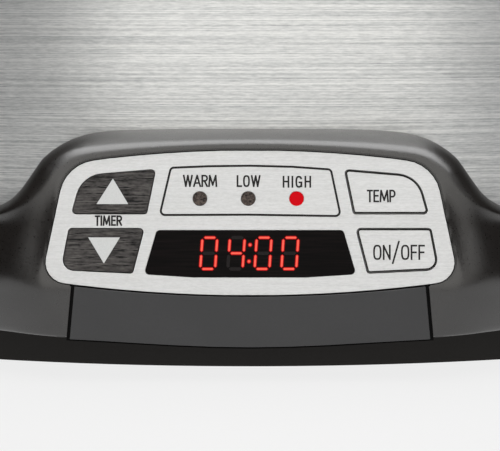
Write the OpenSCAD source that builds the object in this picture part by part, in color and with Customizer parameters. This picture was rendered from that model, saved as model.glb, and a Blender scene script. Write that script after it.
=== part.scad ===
// Oval slow cooker: a brushed steel body on a black base whose control housing
// bulges out at the front, with a lift-out stoneware crock and a glass lid.
// X runs along the long way, the control panel faces -Y and Z is up.
// The origin is on the table, under the middle of the footprint.

/* [Body] */
// Length of the steel body, end to end
body_len = 320; // [280:1:384]
// Width of the steel body, front to back
body_wid = 244; // [204:1:292]
// Height of the top edge of the steel wrap
wrap_top_z = 168; // [140:1:201]
// Sheet thickness of the wrap
wrap_t = 0.6; // [0.4:0.1:1]

/* [Base] */
// Height of the skirt's upper edge
skirt_top_z = 43; // [38:0.5:48]
// Height of the skirt's lower edge
skirt_edge_z = 13; // [12.5:0.5:15]
// How far the skirt stands out from the wrap
skirt_reach = 8; // [7:0.5:10]
// Wall of the base moulding
base_wall = 2.5; // [2:0.1:3]
// How far the bottom cover's wall stands out from the wrap
band_reach = 5; // [4:0.1:6]
// Height of the rubber feet under the bottom cover
foot_h = 1.2; // [1:0.1:3]
// Diameter of a rubber foot
foot_d = 20; // [14:1:26]

/* [Control housing] */
// How far the panel's lower edge stands in front of the wrap
panel_reach = 22; // [20:0.5:26]
// Height of the panel's lower edge
panel_low_z = 25.2; // [24:0.2:28]
// Lean of the panel back from upright, in degrees
panel_tilt = 12; // [8:0.5:16]
// Thickness of the panel overlay and its keys
overlay_t = 0.8; // [0.6:0.1:1.2]
// Running gap round each key
key_gap = 0.25; // [0.2:0.05:0.4]
// Travel of a key
key_travel = 0.7; // [0.4:0.1:1]
// Half length of the cover under the panel
cover_half = 51.7; // [48:0.1:54]
// Diameter of an indicator lamp
lamp_d = 4; // [3:0.1:5]
// Spacing of the lamps
lamp_pitch = 13.75; // [12:0.25:15]

/* [Pot and crock] */
// Gap between the wrap and the heating pot
pot_gap = 6.4; // [6:0.1:9]
// Wall of the heating pot
pot_wall = 0.8; // [0.6:0.1:1.2]
// Height of the heating pot's underside
pot_low_z = 40; // [38:0.5:46]
// Wall of the stoneware crock
crock_wall = 8; // [6:0.5:10]
// Height of the crock's rim above its seat on the pot
rim_h = 9; // [8:0.5:12]
// Reach of the crock's lugs past its rim
lug_reach = 12; // [8:0.5:16]

/* [Lid] */
// Thickness of the lid glass
glass_t = 4.5; // [4:0.1:6]
// Rise of the lid's dome
dome_rise = 26; // [20:1:34]
// Height of the lid knob
knob_h = 32; // [26:1:40]
// Diameter of the knob's cap
knob_d = 50; // [40:1:60]

/* [Side handles] */
// Height of the middle of each side handle
handle_z = 133; // [115:1:145]
// Height of the grip bar
grip_h = 22; // [16:1:28]
// Finger gap between the wrap and the grip
finger_gap = 22; // [20:1:30]
// Thickness of the grip bar
grip_t = 9; // [7:0.5:12]

/* [Cord inlet] */
// Radius of the cord's way through the gland
cord_r = 3.6; // [3:0.1:4.5]
// Radius of the gland's barrel
gland_r = 6.2; // [5.6:0.1:7]

/* [Hidden] */
$fn = 48;
fit = 0.1;         // radial clearance of a shank in its hole
seat = 0.3;        // gap left between pieces that rest on each other

// The oval: end arcs and side arcs that meet in tangency, set out on a 7-24-25 triangle.
half_len = body_len / 2;
step = round((half_len - body_wid / 2) * 100 / 6) / 100;
end_c = 7 * step;
side_c = 24 * step;
end_r = half_len - end_c;
side_r = end_r + 25 * step;
half_wid = side_r - side_c;
end_half = atan(24 / 7);
side_half = 90 - end_half;

// Levels of the base.
cover_low_z = foot_h;
cover_floor = 2.5;
cover_floor_z = cover_low_z + cover_floor;
cover_top_z = skirt_edge_z + 1.7;
shelf_low_z = skirt_edge_z + 2;
shelf_z = shelf_low_z + base_wall;
shelf_in = -12;    // inner edge of the shelf, as an offset from the wrap
boss_in = -8;      // offset of the cover's screws from the wrap
pad_h = 2.5;       // thickening of the cover's floor round a screw

// Levels of the pot, crock and lid.
pot_out = -(wrap_t + pot_gap);
pot_in = pot_out - pot_wall;
flange_z = wrap_top_z + seat;
flange_top_z = flange_z + pot_wall;
lip_in = 0.5;      // the flange's turned-down lip clears the wrap by this
rim_z = flange_top_z + seat;
rim_top_z = rim_z + rim_h;
crock_out = pot_in - 1.4;
crock_low_z = pot_low_z + pot_wall + 2.4;
crock_floor_z = crock_low_z + crock_wall;
ledge_z = rim_top_z - 4.5;
rabbet_in = -8.3;
crock_in = crock_out - crock_wall;
glass_out = rabbet_in - 0.7;
glass_z = ledge_z + seat;
crown_in = -(end_r - 23);
glass_flange_z = glass_z + glass_t + 0.7;
crown_z = glass_flange_z + dome_rise;
dome_run = glass_out - 7 - crown_in;
dome_r = (dome_run * dome_run + dome_rise * dome_rise) / (2 * dome_rise);

// Position of the oval's centre, so that the origin is mid footprint.
gland_flange = 3;
rear_face = half_wid + skirt_reach + 0.5;
front_reach = panel_reach;
rear_reach = skirt_reach + 0.5 + gland_flange;
centre_y = (front_reach - rear_reach) / 2;
gland_z = (skirt_edge_z + skirt_top_z) / 2 - 2;

// Panel outline: arcs above and below, leaning sides, in panel millimetres.
panel_h = 41.3;
low_arc_r = 415;
top_arc_r = 350;
panel_foot_half = 60;
panel_side_lean = 0.2034;
low_corner_r = 6;
top_corner_r = 11;

// Electronics behind the panel, as depths from the panel's face.
wall_back = overlay_t + 2.4;
cover_t = 2;
cover_drop = 0.5;  // the cover's upper edge lies this far under the panel's lower edge
board_front = 11;
board_t = 1.6;
board_screw_r = 1.25;
switch_h = 3.4;
switch_w = 6;
switch_top = board_front - switch_h;
plunger_top = switch_top - 1.3;
plunger_r = 1.7;
stem_r = 2;
lamp_b = 27.5;     // height of the lamps up the panel
lamp_a = -0.5;     // sideways shift of the middle lamp

// Power electronics on the bottom cover.
power_len = 90;
power_wid = 50;
power_z = cover_floor_z + 4;
terminal_y = half_wid - 36;
power_y = round(terminal_y - 41);
shield_z = cover_floor_z + 24;

// Heater band round the pot, and where its strap is drawn tight.
band_z = pot_low_z + 36;
band_h = 36;
band_t = 2.3;
strap_gap = 0.4;
strap_d = -(pot_out + band_t + strap_gap + 1.8);

// Side handles, as angles about the end arcs' centres.
grip_half = 25;
arm_half = 3.4;

// ---------- Outline helpers ----------

function unit(v) = v / norm(v);
function right_of(v) = [v[1], -v[0]];

// Points of an arc about c from angle a0 to a1.
function arc(c, r, a0, a1, n = 8) =
    [for (i = [0:n]) let (a = a0 + (a1 - a0) * i / n) [c[0] + r * cos(a), c[1] + r * sin(a)]];

// Points of a quarter ellipse that starts upright at p0 and ends level at p1.
function quarter(p0, p1, n = 10) =
    [for (i = [0:n]) let (a = 90 * i / n)
        [p1[0] + (p0[0] - p1[0]) * cos(a), p0[1] + (p1[1] - p0[1]) * sin(a)]];

function reversed(list) = [for (i = [len(list) - 1:-1:0]) list[i]];

// A corner [x, y, radius] of a convex outline, moved out by g with its two edges.
function grown_corner(c, i, g) =
    let (n = len(c), p0 = c[(i + n - 1) % n], p1 = c[i], p2 = c[(i + 1) % n])
    let (n1 = right_of(unit([p1[0] - p0[0], p1[1] - p0[1]])))
    let (n2 = right_of(unit([p2[0] - p1[0], p2[1] - p1[1]])))
    let (k = g / (1 + n1 * n2))
    [p1[0] + (n1[0] + n2[0]) * k, p1[1] + (n1[1] + n2[1]) * k, p1[2] > 0 ? max(0.2, p1[2] + g) : 0];

// Arc points that round corner i of an outline of [x, y, radius] corners.
function corner_points(c, i, steps = 6) =
    let (n = len(c), p0 = c[(i + n - 1) % n], p1 = c[i], p2 = c[(i + 1) % n])
    let (d1 = unit([p1[0] - p0[0], p1[1] - p0[1]]), d2 = unit([p2[0] - p1[0], p2[1] - p1[1]]))
    let (turn = atan2(d1[0] * d2[1] - d1[1] * d2[0], d1 * d2), r = p1[2], t = r * tan(turn / 2))
    r == 0 ? [[p1[0], p1[1]]] :
    let (s = [p1[0] - d1[0] * t, p1[1] - d1[1] * t], m = [s[0] - d1[1] * r, s[1] + d1[0] * r])
    let (a0 = atan2(s[1] - m[1], s[0] - m[0]))
    arc(m, r, a0, a0 + turn, steps);

// The rounded outline of anticlockwise corners, grown outwards by g.
function outline(corners, g = 0) =
    let (c = [for (i = [0:len(corners) - 1]) grown_corner(corners, i, g)])
    [for (i = [0:len(c) - 1]) each corner_points(c, i)];

function mirrored(corners) = reversed([for (c = corners) [-c[0], c[1], c[2]]]);

// ---------- Placing helpers ----------

// Children are drawn about the oval's centre.
module in_place() {
    translate([0, centre_y, 0]) children();
}

// Plan of the space that one arc takes up: its edges run out from the arc's centre
// through the points of tangency.
module arc_space(apex, width) {
    translate([0, 0, -1]) linear_extrude(400) polygon(apex > 0
        ? [[0, apex], [-end_c - 49, -168], [0, -168 - width], [end_c + 49, -168]]
        : [[end_c, 0], [end_c + 49, -168], [end_c + 49 + width, 0], [end_c + 49, 168]]);
}

// A profile of [offset from the wrap, height] swept round the whole oval.
module oval_sweep() {
    for (turn = [0, 180]) rotate([0, 0, turn]) {
        intersection() {
            translate([end_c, 0, 0]) rotate([0, 0, 180]) rotate_extrude($fn = 96) translate([end_r, 0]) children();
            arc_space(0, 200);
        }
        intersection() {
            translate([0, side_c, 0]) rotate_extrude($fn = 192) translate([side_r, 0]) children();
            arc_space(side_c, 100);
        }
    }
}

// A solid oval plate, d outside the wrap, from z0 to z1.
module oval_plate(d, z0, z1) {
    oval_sweep() translate([3 - end_r, z0]) square([end_r - 3 + d, z1 - z0]);
    translate([-end_c - 5, -step - 4, z0]) cube([2 * (end_c + 5), 2 * (step + 4), z1 - z0]);
}

// A piece of an end arc: the profile swept over angles a - w to a + w.
module end_piece(side, a, w) {
    translate([side * end_c, 0, 0]) rotate([0, 0, (side > 0 ? a : 180 - a) - w])
        rotate_extrude(angle = 2 * w, $fn = 96) translate([end_r, 0]) children();
}

// Children stand at angle a of one end arc: local X is the offset from the wrap.
module at_end(side, a) {
    translate([side * end_c, 0, 0]) rotate([0, 0, side > 0 ? a : 180 - a]) translate([end_r, 0, 0]) children();
}

// Children use panel axes: X along, Y up the face, Z out of the face.
module on_panel() {
    translate([0, -(half_wid + panel_reach), panel_low_z]) rotate([90 - panel_tilt, 0, 0]) children();
}

// A slab of an outline in the panel, between two depths under its face.
module panel_slab(from, to) {
    on_panel() translate([0, 0, -to]) linear_extrude(to - from) children();
}

// An upright slab that runs back from y0.
module upright(depth, y0) {
    translate([0, y0 + depth, 0]) rotate([90, 0, 0]) linear_extrude(depth) children();
}

// A round bar along Y from y0 to y1.
module bar_y(r, y0, y1) {
    translate([0, y1, 0]) rotate([90, 0, 0]) cylinder(r = r, h = y1 - y0);
}

// A lead of radius r through a list of points.
module lead(points, r) {
    for (i = [0:len(points) - 2]) let (v = points[i + 1] - points[i])
        translate(points[i]) rotate([0, acos(v[2] / norm(v)), atan2(v[1], v[0])]) cylinder(r = r, h = norm(v));
    for (i = [1:len(points) - 2]) translate(points[i]) sphere(r = r);
}

// ---------- Panel layout, in panel millimetres ----------

function low_arc(a) = low_arc_r - sqrt(low_arc_r * low_arc_r - a * a);
function top_arc(a) = panel_h - top_arc_r + sqrt(top_arc_r * top_arc_r - a * a);
function panel_side(b) = panel_foot_half - panel_side_lean * b;

panel_right = [
    for (a = [7:7:49]) [a, low_arc(a), 0],
    [panel_side(low_arc(59)), low_arc(59), low_corner_r],
    [panel_side(top_arc(52.5)), top_arc(52.5), top_corner_r],
    for (a = [40:-8:4]) [a, top_arc(a), 0]
];
panel_corners = concat(panel_right, mirrored(panel_right));

temp_corners = [[29.3, 23, 1], [50.9, 23, 1.2], [47.9, 34.2, 8], [26.7, 36, 1.2]];
power_corners = [[33.2, 6.1, 1], [53.7, 7.1, 3.2], [51.5, 19.1, 1.2], [29.9, 19.1, 1.2]];
KEYS = [
    ["timer_up", mirrored(temp_corners), [-39.2, 29]],
    ["timer_down", mirrored(power_corners), [-42.5, 12.8]],
    ["temp", temp_corners, [39.2, 29]],
    ["power", power_corners, [42.5, 12.8]]
];
window_corners = [[16, low_arc(16) + 4.7, 0], [30.1, 5.9, 1.2], [26.5, 18.5, 1.2],
                  [-26.5, 18.5, 1.2], [-30.1, 5.9, 1.2], [-16, low_arc(16) + 4.7, 0]];

module lamp_places() {
    for (i = [-1:1]) on_panel() translate([lamp_a + i * lamp_pitch, lamp_b, 0]) children();
}
module board_hole_places() {
    for (s = [-1, 1], p = [[54.3, 28], [57.2, 9]]) on_panel() translate([s * p[0], p[1], 0]) children();
}

// ---------- Places of screws, feet and brackets ----------

module cover_screw_places() {
    for (side = [-1, 1], a = [-40, 40]) at_end(side, a) translate([boss_in, 0, 0]) children();
    for (side = [-1, 1]) translate([0, side * (half_wid + boss_in), 0]) children();
}
module foot_places() {
    for (side = [-1, 1], a = [-52, 52]) at_end(side, a) translate([-26, 0, 0]) children();
}
module bracket_screw_places() {
    for (side = [-1, 1], a = [-62, 62]) at_end(side, a) translate([shelf_in + 3, 0, 0]) children();
}
module handle_screw_places() {
    for (side = [-1, 1], a = [-1, 1]) at_end(side, a * (grip_half - arm_half))
        translate([0, 0, handle_z]) rotate([0, 90, 0]) children();
}
module power_post_places() {
    for (x = [-1, 1], y = [-1, 1])
        translate([x * (power_len / 2 - 5), power_y + y * (power_wid / 2 - 5), 0]) children();
}
module shield_post_places() {
    for (x = [-1, 1], y = [-1, 1]) translate([x * 92, y * 45, 0]) children();
}

// ---------- Base ----------

skirt_profile = concat(
    [[shelf_in, shelf_low_z], [band_reach + seat, shelf_low_z], [band_reach + seat, skirt_edge_z]],
    [[skirt_reach, skirt_edge_z]],
    quarter([skirt_reach, skirt_edge_z + 7], [seat, skirt_top_z]),
    reversed(quarter([skirt_reach - base_wall, skirt_edge_z + 7], [seat, skirt_top_z - base_wall])),
    [[skirt_reach - base_wall, shelf_z], [shelf_in, shelf_z]]
);

// Outline of the control housing where it meets the wrap, as [x, z] corners.
function housing_corners(low, inset) =
    let (mid = skirt_top_z - inset, top = panel_low_z + 45 - inset)
    [[-82 + inset, low, 2], [82 - inset, low, 2], [76.5 - inset, mid, 6], [58 - inset, top - 3.2, 9],
     [42 - inset, top - 0.8, 0], [0, top, 0], [-42 + inset, top - 0.8, 0], [-58 + inset, top - 3.2, 9],
     [-76.5 + inset, mid, 6]];

// The bulge of the control housing, outside or hollowed by the wall.
module housing_bulge(hollow) {
    inset = hollow ? base_wall : 0;
    face = hollow ? wall_back : -0.4;
    grow = hollow ? -0.4 : 1.6;
    low = hollow ? shelf_z : skirt_edge_z;
    front = half_wid + panel_reach - (hollow ? cover_t + seat + 2.8 : 0.3);
    hull() {
        panel_slab(face, face + 0.8) polygon(outline(panel_corners, grow));
        panel_slab(face + 3, face + 4) polygon(outline(panel_corners, grow + 2.8));
        upright(1, -(half_wid - 10) + (hollow ? 1 : 0)) polygon(outline(housing_corners(low, inset)));
        translate([-cover_half - 2.6 + inset, -front, low])
            cube([2 * (cover_half + 2.6 - inset), 2, panel_low_z - low - (hollow ? 4 : 0)]);
    }
}

// The face under the panel, as [x, z] corners: arched below and above.
function cover_low(x) = skirt_edge_z - 1.4 * (1 + cos(180 * min(abs(x), 70) / 70));
function cover_top(x) = panel_low_z - cover_drop + cos(panel_tilt) * low_arc(x);
cover_corners = concat(
    [for (i = [-5:5]) let (x = i * (cover_half + 0.6) / 5) [x, cover_low(x), 0]],
    [for (i = [5:-1:-5]) let (x = i * (cover_half - 0.9) / 5) [x, cover_top(x), 0]]
);
module peg_places() {
    for (x = [-36, 36]) translate([x, 0, panel_low_z - 6.5]) children();
}

module base_shell() {
    color("#1f1e1d") in_place() difference() {
        union() {
            difference() {
                union() {
                    oval_sweep() polygon(skirt_profile);
                    housing_bulge(false);
                    translate([0, 0, gland_z]) bar_y(gland_r + 4, rear_face - base_wall - 2.3, rear_face);
                }
                housing_bulge(true);
                oval_plate(seat, shelf_z, wrap_top_z);
                oval_plate(band_reach + seat, cover_low_z, shelf_low_z);
                translate([-100, -(half_wid + panel_reach) - 10, 0]) cube([200, 10, 100]);
            }
            cover_screw_places() translate([0, 0, cover_floor_z + pad_h + seat])
                cylinder(d = 8, h = shelf_z - cover_floor_z - pad_h - 1);
            board_hole_places() translate([0, 0, -board_front]) cylinder(r = 2.6, h = board_front - wall_back + 1);
        }
        panel_slab(-5, overlay_t) polygon(outline(panel_corners, 0.3));
        panel_slab(-5, wall_back + 1) polygon(outline(window_corners, -1.2));
        for (k = KEYS) panel_slab(-5, wall_back + 1) polygon(outline(k[1]));
        lamp_places() translate([0, 0, -wall_back - 1]) cylinder(d = lamp_d + 2 * fit, h = 9);
        board_hole_places() translate([0, 0, -board_front - 1]) cylinder(r = board_screw_r + fit, h = 8);
        upright(panel_reach, -(half_wid + panel_reach * 2 - cover_t - seat)) polygon(outline(cover_corners, seat));
        peg_places() bar_y(1.5 + fit, -(half_wid + panel_reach), -(half_wid + panel_reach - cover_t - 5));
        cover_screw_places() translate([0, 0, cover_low_z]) cylinder(r = 1.5 + fit, h = shelf_low_z - 2);
        bracket_screw_places() translate([0, 0, shelf_low_z - 1]) cylinder(r = 1.5 + fit, h = 6);
        translate([0, 0, gland_z]) bar_y(gland_r + fit, half_wid - 20, rear_face + 1);
    }
}

module bottom_cover() {
    color("#26221f") in_place() difference() {
        union() {
            oval_plate(band_reach, cover_low_z, cover_floor_z);
            oval_sweep() translate([band_reach - base_wall, cover_low_z])
                square([base_wall, cover_top_z - cover_low_z]);
            cover_screw_places() translate([0, 0, cover_floor_z - 1]) cylinder(r = 5, h = pad_h + 1);
            power_post_places() translate([0, 0, cover_floor_z - 1]) cylinder(r = 3.5, h = power_z - cover_floor_z + 1);
            shield_post_places() translate([0, 0, cover_floor_z - 1]) cylinder(r = 4, h = shield_z - cover_floor_z + 1);
        }
        cover_screw_places() {
            cylinder(r = 3.7, h = cover_floor_z + 0.1);
            cylinder(r = 1.5 + fit, h = cover_floor_z + pad_h + 1);
        }
        foot_places() cylinder(r = 3 + fit, h = cover_floor_z + 1);
        power_post_places() translate([0, 0, cover_floor_z]) cylinder(r = 1.4 + fit, h = power_z);
        shield_post_places() translate([0, 0, shield_z - 8]) cylinder(r = 1.4 + fit, h = 9);
        for (x = [-100:20:100]) translate([x - 1.5, -62, 0]) cube([3, 26, cover_floor_z + 1]);
    }
}
module rubber_feet() {
    color("#161515") in_place() foot_places() {
        cylinder(d = foot_d, h = foot_h);
        cylinder(r = 3, h = cover_floor_z - 0.5);
    }
}
module cover_screws() {
    color("#8f8f8f") in_place() cover_screw_places() difference() {
        union() {
            translate([0, 0, cover_floor_z - 1.9]) cylinder(r = 3.2, h = 2);
            translate([0, 0, cover_floor_z]) cylinder(r = 1.5, h = 8);
        }
        translate([-2, -0.4, cover_floor_z - 2]) cube([4, 0.8, 1.1]);
        translate([-0.4, -2, cover_floor_z - 2]) cube([0.8, 4, 1.1]);
    }
}
module front_cover() {
    color("#2b2a29") in_place() {
        upright(cover_t, -(half_wid + panel_reach)) polygon(outline(cover_corners));
        peg_places() bar_y(1.5, -(half_wid + panel_reach - 1), -(half_wid + panel_reach - cover_t - 3));
    }
}
module outer_wrap() {
    color("#cfcfcd") in_place() difference() {
        oval_sweep() translate([-wrap_t, shelf_z]) square([wrap_t, wrap_top_z - shelf_z]);
        translate([-18, -half_wid - 5, shelf_z + 7]) cube([36, 12, 17]);
        translate([0, 0, gland_z]) bar_y(gland_r + 0.5, half_wid - 8, half_wid + 5);
        handle_screw_places() translate([0, 0, -6]) cylinder(r = 2 + fit, h = 12);
    }
}

// ---------- Control panel ----------

module panel_overlay() {
    color("#dededc") in_place() difference() {
        panel_slab(0, overlay_t) polygon(outline(panel_corners));
        panel_slab(-1, overlay_t + 1) polygon(outline(window_corners));
        for (k = KEYS) panel_slab(-1, overlay_t + 1) polygon(outline(k[1]));
        lamp_places() translate([0, 0, -overlay_t - 1]) cylinder(d = lamp_d + 2 * fit, h = overlay_t + 2);
    }
}
module display_window() {
    color("#0b0b0c") in_place() panel_slab(0, overlay_t) polygon(outline(window_corners, -0.1));
}
module lamp(i) {
    in_place() on_panel() translate([lamp_a + i * lamp_pitch, lamp_b, -wall_back - 0.2])
        cylinder(d = lamp_d, h = wall_back + 0.3);
}
module lamp_warm() { color("#4f4744") lamp(-1); }
module lamp_low() { color("#4f4744") lamp(0); }
module lamp_high() { color("#d8101a") lamp(1); }

module key(i) {
    in_place() {
        panel_slab(-0.2, wall_back + 0.3) polygon(outline(KEYS[i][1], -key_gap));
        panel_slab(wall_back + 0.2, wall_back + 1.2) polygon(outline(KEYS[i][1], 0.8));
        on_panel() translate([KEYS[i][2][0], KEYS[i][2][1], -plunger_top])
            cylinder(r = stem_r, h = plunger_top - wall_back - 1);
    }
}
module key_timer_up() { color("#3a3838") key(0); }
module key_timer_down() { color("#3a3838") key(1); }
module key_temp() { color("#dededc") key(2); }
module key_power() { color("#dededc") key(3); }

module plunger(i) {
    in_place() on_panel() translate([KEYS[i][2][0], KEYS[i][2][1], -switch_top - 0.8])
        cylinder(r = plunger_r, h = switch_top + 0.8 - plunger_top);
}
module plunger_timer_up() { color("#2c2c2c") plunger(0); }
module plunger_timer_down() { color("#2c2c2c") plunger(1); }
module plunger_temp() { color("#2c2c2c") plunger(2); }
module plunger_power() { color("#2c2c2c") plunger(3); }

module control_board() {
    color("#1d5a36") in_place() {
        difference() {
            panel_slab(board_front, board_front + board_t)
                polygon([[-59.2, 4.5], [59.2, 4.5], [56.6, 35], [-56.6, 35]]);
            board_hole_places() translate([0, 0, -board_front - board_t - 1]) cylinder(r = board_screw_r + fit, h = board_t + 2);
        }
        on_panel() translate([-7, 9, -board_front - board_t - 3.6]) cube([14, 6, 4]);
    }
}
module board_screws() {
    color("#a8a8a8") in_place() board_hole_places() {
        translate([0, 0, -board_front - board_t - 1.3]) cylinder(r = 2.4, h = 1.3);
        translate([0, 0, -board_front - board_t - 0.5]) cylinder(r = board_screw_r, h = 7);
    }
}
module display_module() {
    color("#8d8f92") in_place() on_panel() translate([-15.8, 4.9, -board_front]) cube([32, 14, board_front - wall_back - 0.2]);
}
module indicator_leds() {
    color("#e8e4e0") in_place() lamp_places() {
        translate([0, 0, -board_front]) cylinder(r = 1.9, h = 1);
        translate([0, 0, -board_front]) cylinder(r = 1.5, h = board_front - wall_back - 0.5);
    }
}
module key_switches() {
    color("#303134") in_place() for (k = KEYS) on_panel() translate([k[2][0], k[2][1], -board_front]) difference() {
        translate([-switch_w / 2, -switch_w / 2, 0]) cube([switch_w, switch_w, switch_h]);
        translate([0, 0, switch_h - key_travel - 1.3]) cylinder(r = plunger_r + 0.15, h = 5);
    }
}
module buzzer() {
    color("#141414") in_place() on_panel() translate([-26, 13, -board_front - board_t - 4.4]) difference() {
        cylinder(r = 5, h = 4.4);
        translate([0, 0, -1]) cylinder(r = 0.8, h = 2.5);
    }
}

// ---------- Power electronics and leads ----------

module power_board() {
    color("#2b6b3f") in_place() difference() {
        translate([-power_len / 2, power_y - power_wid / 2, power_z]) cube([power_len, power_wid, board_t]);
        power_post_places() translate([0, 0, power_z - 1]) cylinder(r = 1.4 + fit, h = board_t + 2);
        translate([0, power_y - power_wid / 2 + 12, power_z - 1]) cylinder(r = 1.3, h = board_t + 2);
    }
}
module power_board_screws() {
    color("#a8a8a8") in_place() power_post_places() {
        translate([0, 0, power_z + board_t]) cylinder(r = 2.8, h = 1.6);
        translate([0, 0, power_z - 2]) cylinder(r = 1.4, h = board_t + 2.5);
    }
}
module relay() {
    color("#2a56a8") in_place() translate([-34, power_y - 4, power_z + board_t]) cube([19, 15.5, 15]);
}
module transformer() {
    color("#c9a227") in_place() translate([10, power_y - 9, power_z + board_t]) {
        cube([24, 20, 12]);
        translate([4, -2, 2]) cube([16, 24, 9]);
    }
}
module filter_capacitor() {
    color("#7c2d2d") in_place() translate([-34, power_y - 20, power_z + board_t]) cube([22, 8, 14]);
}
module terminal_block() {
    color("#e9e4d6") in_place() translate([-21, terminal_y, cover_floor_z]) difference() {
        cube([42, 14, 16]);
        for (x = [5, 15.6, 26.4, 37]) translate([x, 7, 11]) cylinder(r = 2.6, h = 6);
    }
}
module ribbon_cable() {
    f0 = -(half_wid + panel_reach) + sin(panel_tilt) * 12 + cos(panel_tilt) * (board_front + board_t + 3.6);
    z0 = panel_low_z + cos(panel_tilt) * 12 - sin(panel_tilt) * (board_front + board_t + 3.6);
    y_in = -(half_wid + shelf_in) + 2.5;
    color("#b8b4aa") in_place() {
        translate([-5, f0 + 0.1, z0 - 1.5]) cube([10, y_in - f0, 1]);
        translate([-5, y_in - 1, cover_floor_z + 9.3]) cube([10, 1, z0 - cover_floor_z - 9.8]);
        translate([-5, y_in - 1, cover_floor_z + 9.3]) cube([10, power_y - power_wid / 2 + 5 - y_in, 1]);
        translate([-5, power_y - power_wid / 2 + 3, power_z + board_t]) cube([10, 1, cover_floor_z + 9.8 - power_z - board_t]);
    }
}
lead_y = side_c - sqrt(pow(side_r - 5.5, 2) - 256);
module heater_leads() {
    color("#d9d2c4") in_place() for (s = [-1, 1])
        lead([[s * 16, -lead_y, band_z], [s * 16, -lead_y, 22.5], [s * 16, terminal_y + 7, 22.5],
              [s * 16, terminal_y + 7, cover_floor_z + 16]], 1.2);
}
module sensor_lead() {
    color("#d9d2c4") in_place()
        lead([[0, 9.5, shield_z + 4], [0, power_y - power_wid / 2 + 12, shield_z + 4],
              [0, power_y - power_wid / 2 + 12, power_z + board_t - 1]], 1.1);
}

// ---------- Heating pot ----------

pot_corner = 12;
pot_profile = concat(
    [[crown_in - 4, pot_low_z]],
    reversed(quarter([pot_out, pot_low_z + pot_corner], [pot_out - pot_corner, pot_low_z])),
    [[pot_out, flange_z], [lip_in, flange_z], [lip_in, flange_z - 5], [lip_in + pot_wall, flange_z - 5],
     [lip_in + pot_wall, flange_top_z], [pot_in, flange_top_z]],
    quarter([pot_in, pot_low_z + pot_corner], [pot_out - pot_corner, pot_low_z + pot_wall]),
    [[crown_in - 4, pot_low_z + pot_wall]]
);
module heating_pot() {
    color("#a9aaab") in_place() {
        oval_sweep() polygon(pot_profile);
        oval_plate(crown_in, pot_low_z, pot_low_z + pot_wall);
    }
}
module heater_band() {
    color("#8f7d5e") in_place() difference() {
        oval_sweep() translate([pot_out + 0.1, band_z]) square([band_t, band_h]);
        translate([-5, half_wid - 15, band_z - 1]) cube([10, 20, band_h + 2]);
    }
}
module band_strap() {
    color("#b7babc") in_place() difference() {
        union() {
            oval_sweep() translate([pot_out + band_t + strap_gap, band_z + 8]) square([0.6, 16]);
            for (s = [-1, 1]) translate([s * 7.6 - 0.6, half_wid + pot_out + band_t + strap_gap, band_z + 8]) cube([1.2, 3.2, 16]);
        }
        translate([-7, half_wid - 15, band_z]) cube([14, 20, 30]);
        translate([-12, half_wid - strap_d, band_z + 16]) rotate([0, 90, 0]) cylinder(r = 1.1, h = 24);
    }
}
module strap_screw() {
    color("#9a9a9a") in_place() translate([0, half_wid - strap_d, band_z + 16]) rotate([0, 90, 0]) {
        translate([0, 0, -11]) cylinder(r = 1, h = 20);
        translate([0, 0, 8.3]) cylinder(r = 1.2, h = 1.6);
    }
}
module pot_brackets() {
    up = pot_out + 0.1;
    color("#b9bbbd") in_place() difference() {
        for (side = [-1, 1], a = [-62, 62]) end_piece(side, a, 3.6) polygon([
            [shelf_in + 0.3, shelf_z], [up + 1.2, shelf_z], [up + 1.2, band_z - 6], [up, band_z - 6],
            [up, shelf_z + 1.2], [shelf_in + 0.3, shelf_z + 1.2]]);
        bracket_screw_places() translate([0, 0, shelf_z - 1]) cylinder(r = 1.5 + fit, h = 4);
    }
}
module bracket_screws() {
    color("#8f8f8f") in_place() bracket_screw_places() {
        translate([0, 0, shelf_z + 1.2]) cylinder(r = 1.9, h = 1.4);
        translate([0, 0, shelf_low_z + 0.4]) cylinder(r = 1.5, h = base_wall + 1.2);
    }
}
module heat_shield() {
    color("#c4c6c8") in_place() difference() {
        oval_plate(-24, shield_z, shield_z + 0.6);
        shield_post_places() translate([0, 0, shield_z - 1]) cylinder(r = 1.4 + fit, h = 3);
        translate([0, power_y - power_wid / 2 + 12, shield_z - 1]) cylinder(r = 2.4, h = 3);
    }
}
module shield_screws() {
    color("#a8a8a8") in_place() shield_post_places() {
        translate([0, 0, shield_z + 0.6]) cylinder(r = 3, h = 1.8);
        translate([0, 0, shield_z - 6]) cylinder(r = 1.4, h = 7);
    }
}
module temperature_sensor() {
    color("#c9b98c") in_place() {
        translate([0, 0, shield_z + 0.6]) cylinder(r = 9.3, h = 7);
        translate([0, 0, shield_z + 7]) cylinder(r = 6, h = pot_low_z - shield_z - 7);
    }
}
module thermal_fuse() {
    color("#d7d7d0") in_place() translate([-9, -(half_wid + pot_out + 3.1), band_z - 10]) rotate([0, 90, 0]) {
        cylinder(r = 2.8, h = 18);
        translate([0, 0, -5]) cylinder(r = 0.7, h = 28);
    }
}

// ---------- Handles and cord inlet ----------

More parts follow.
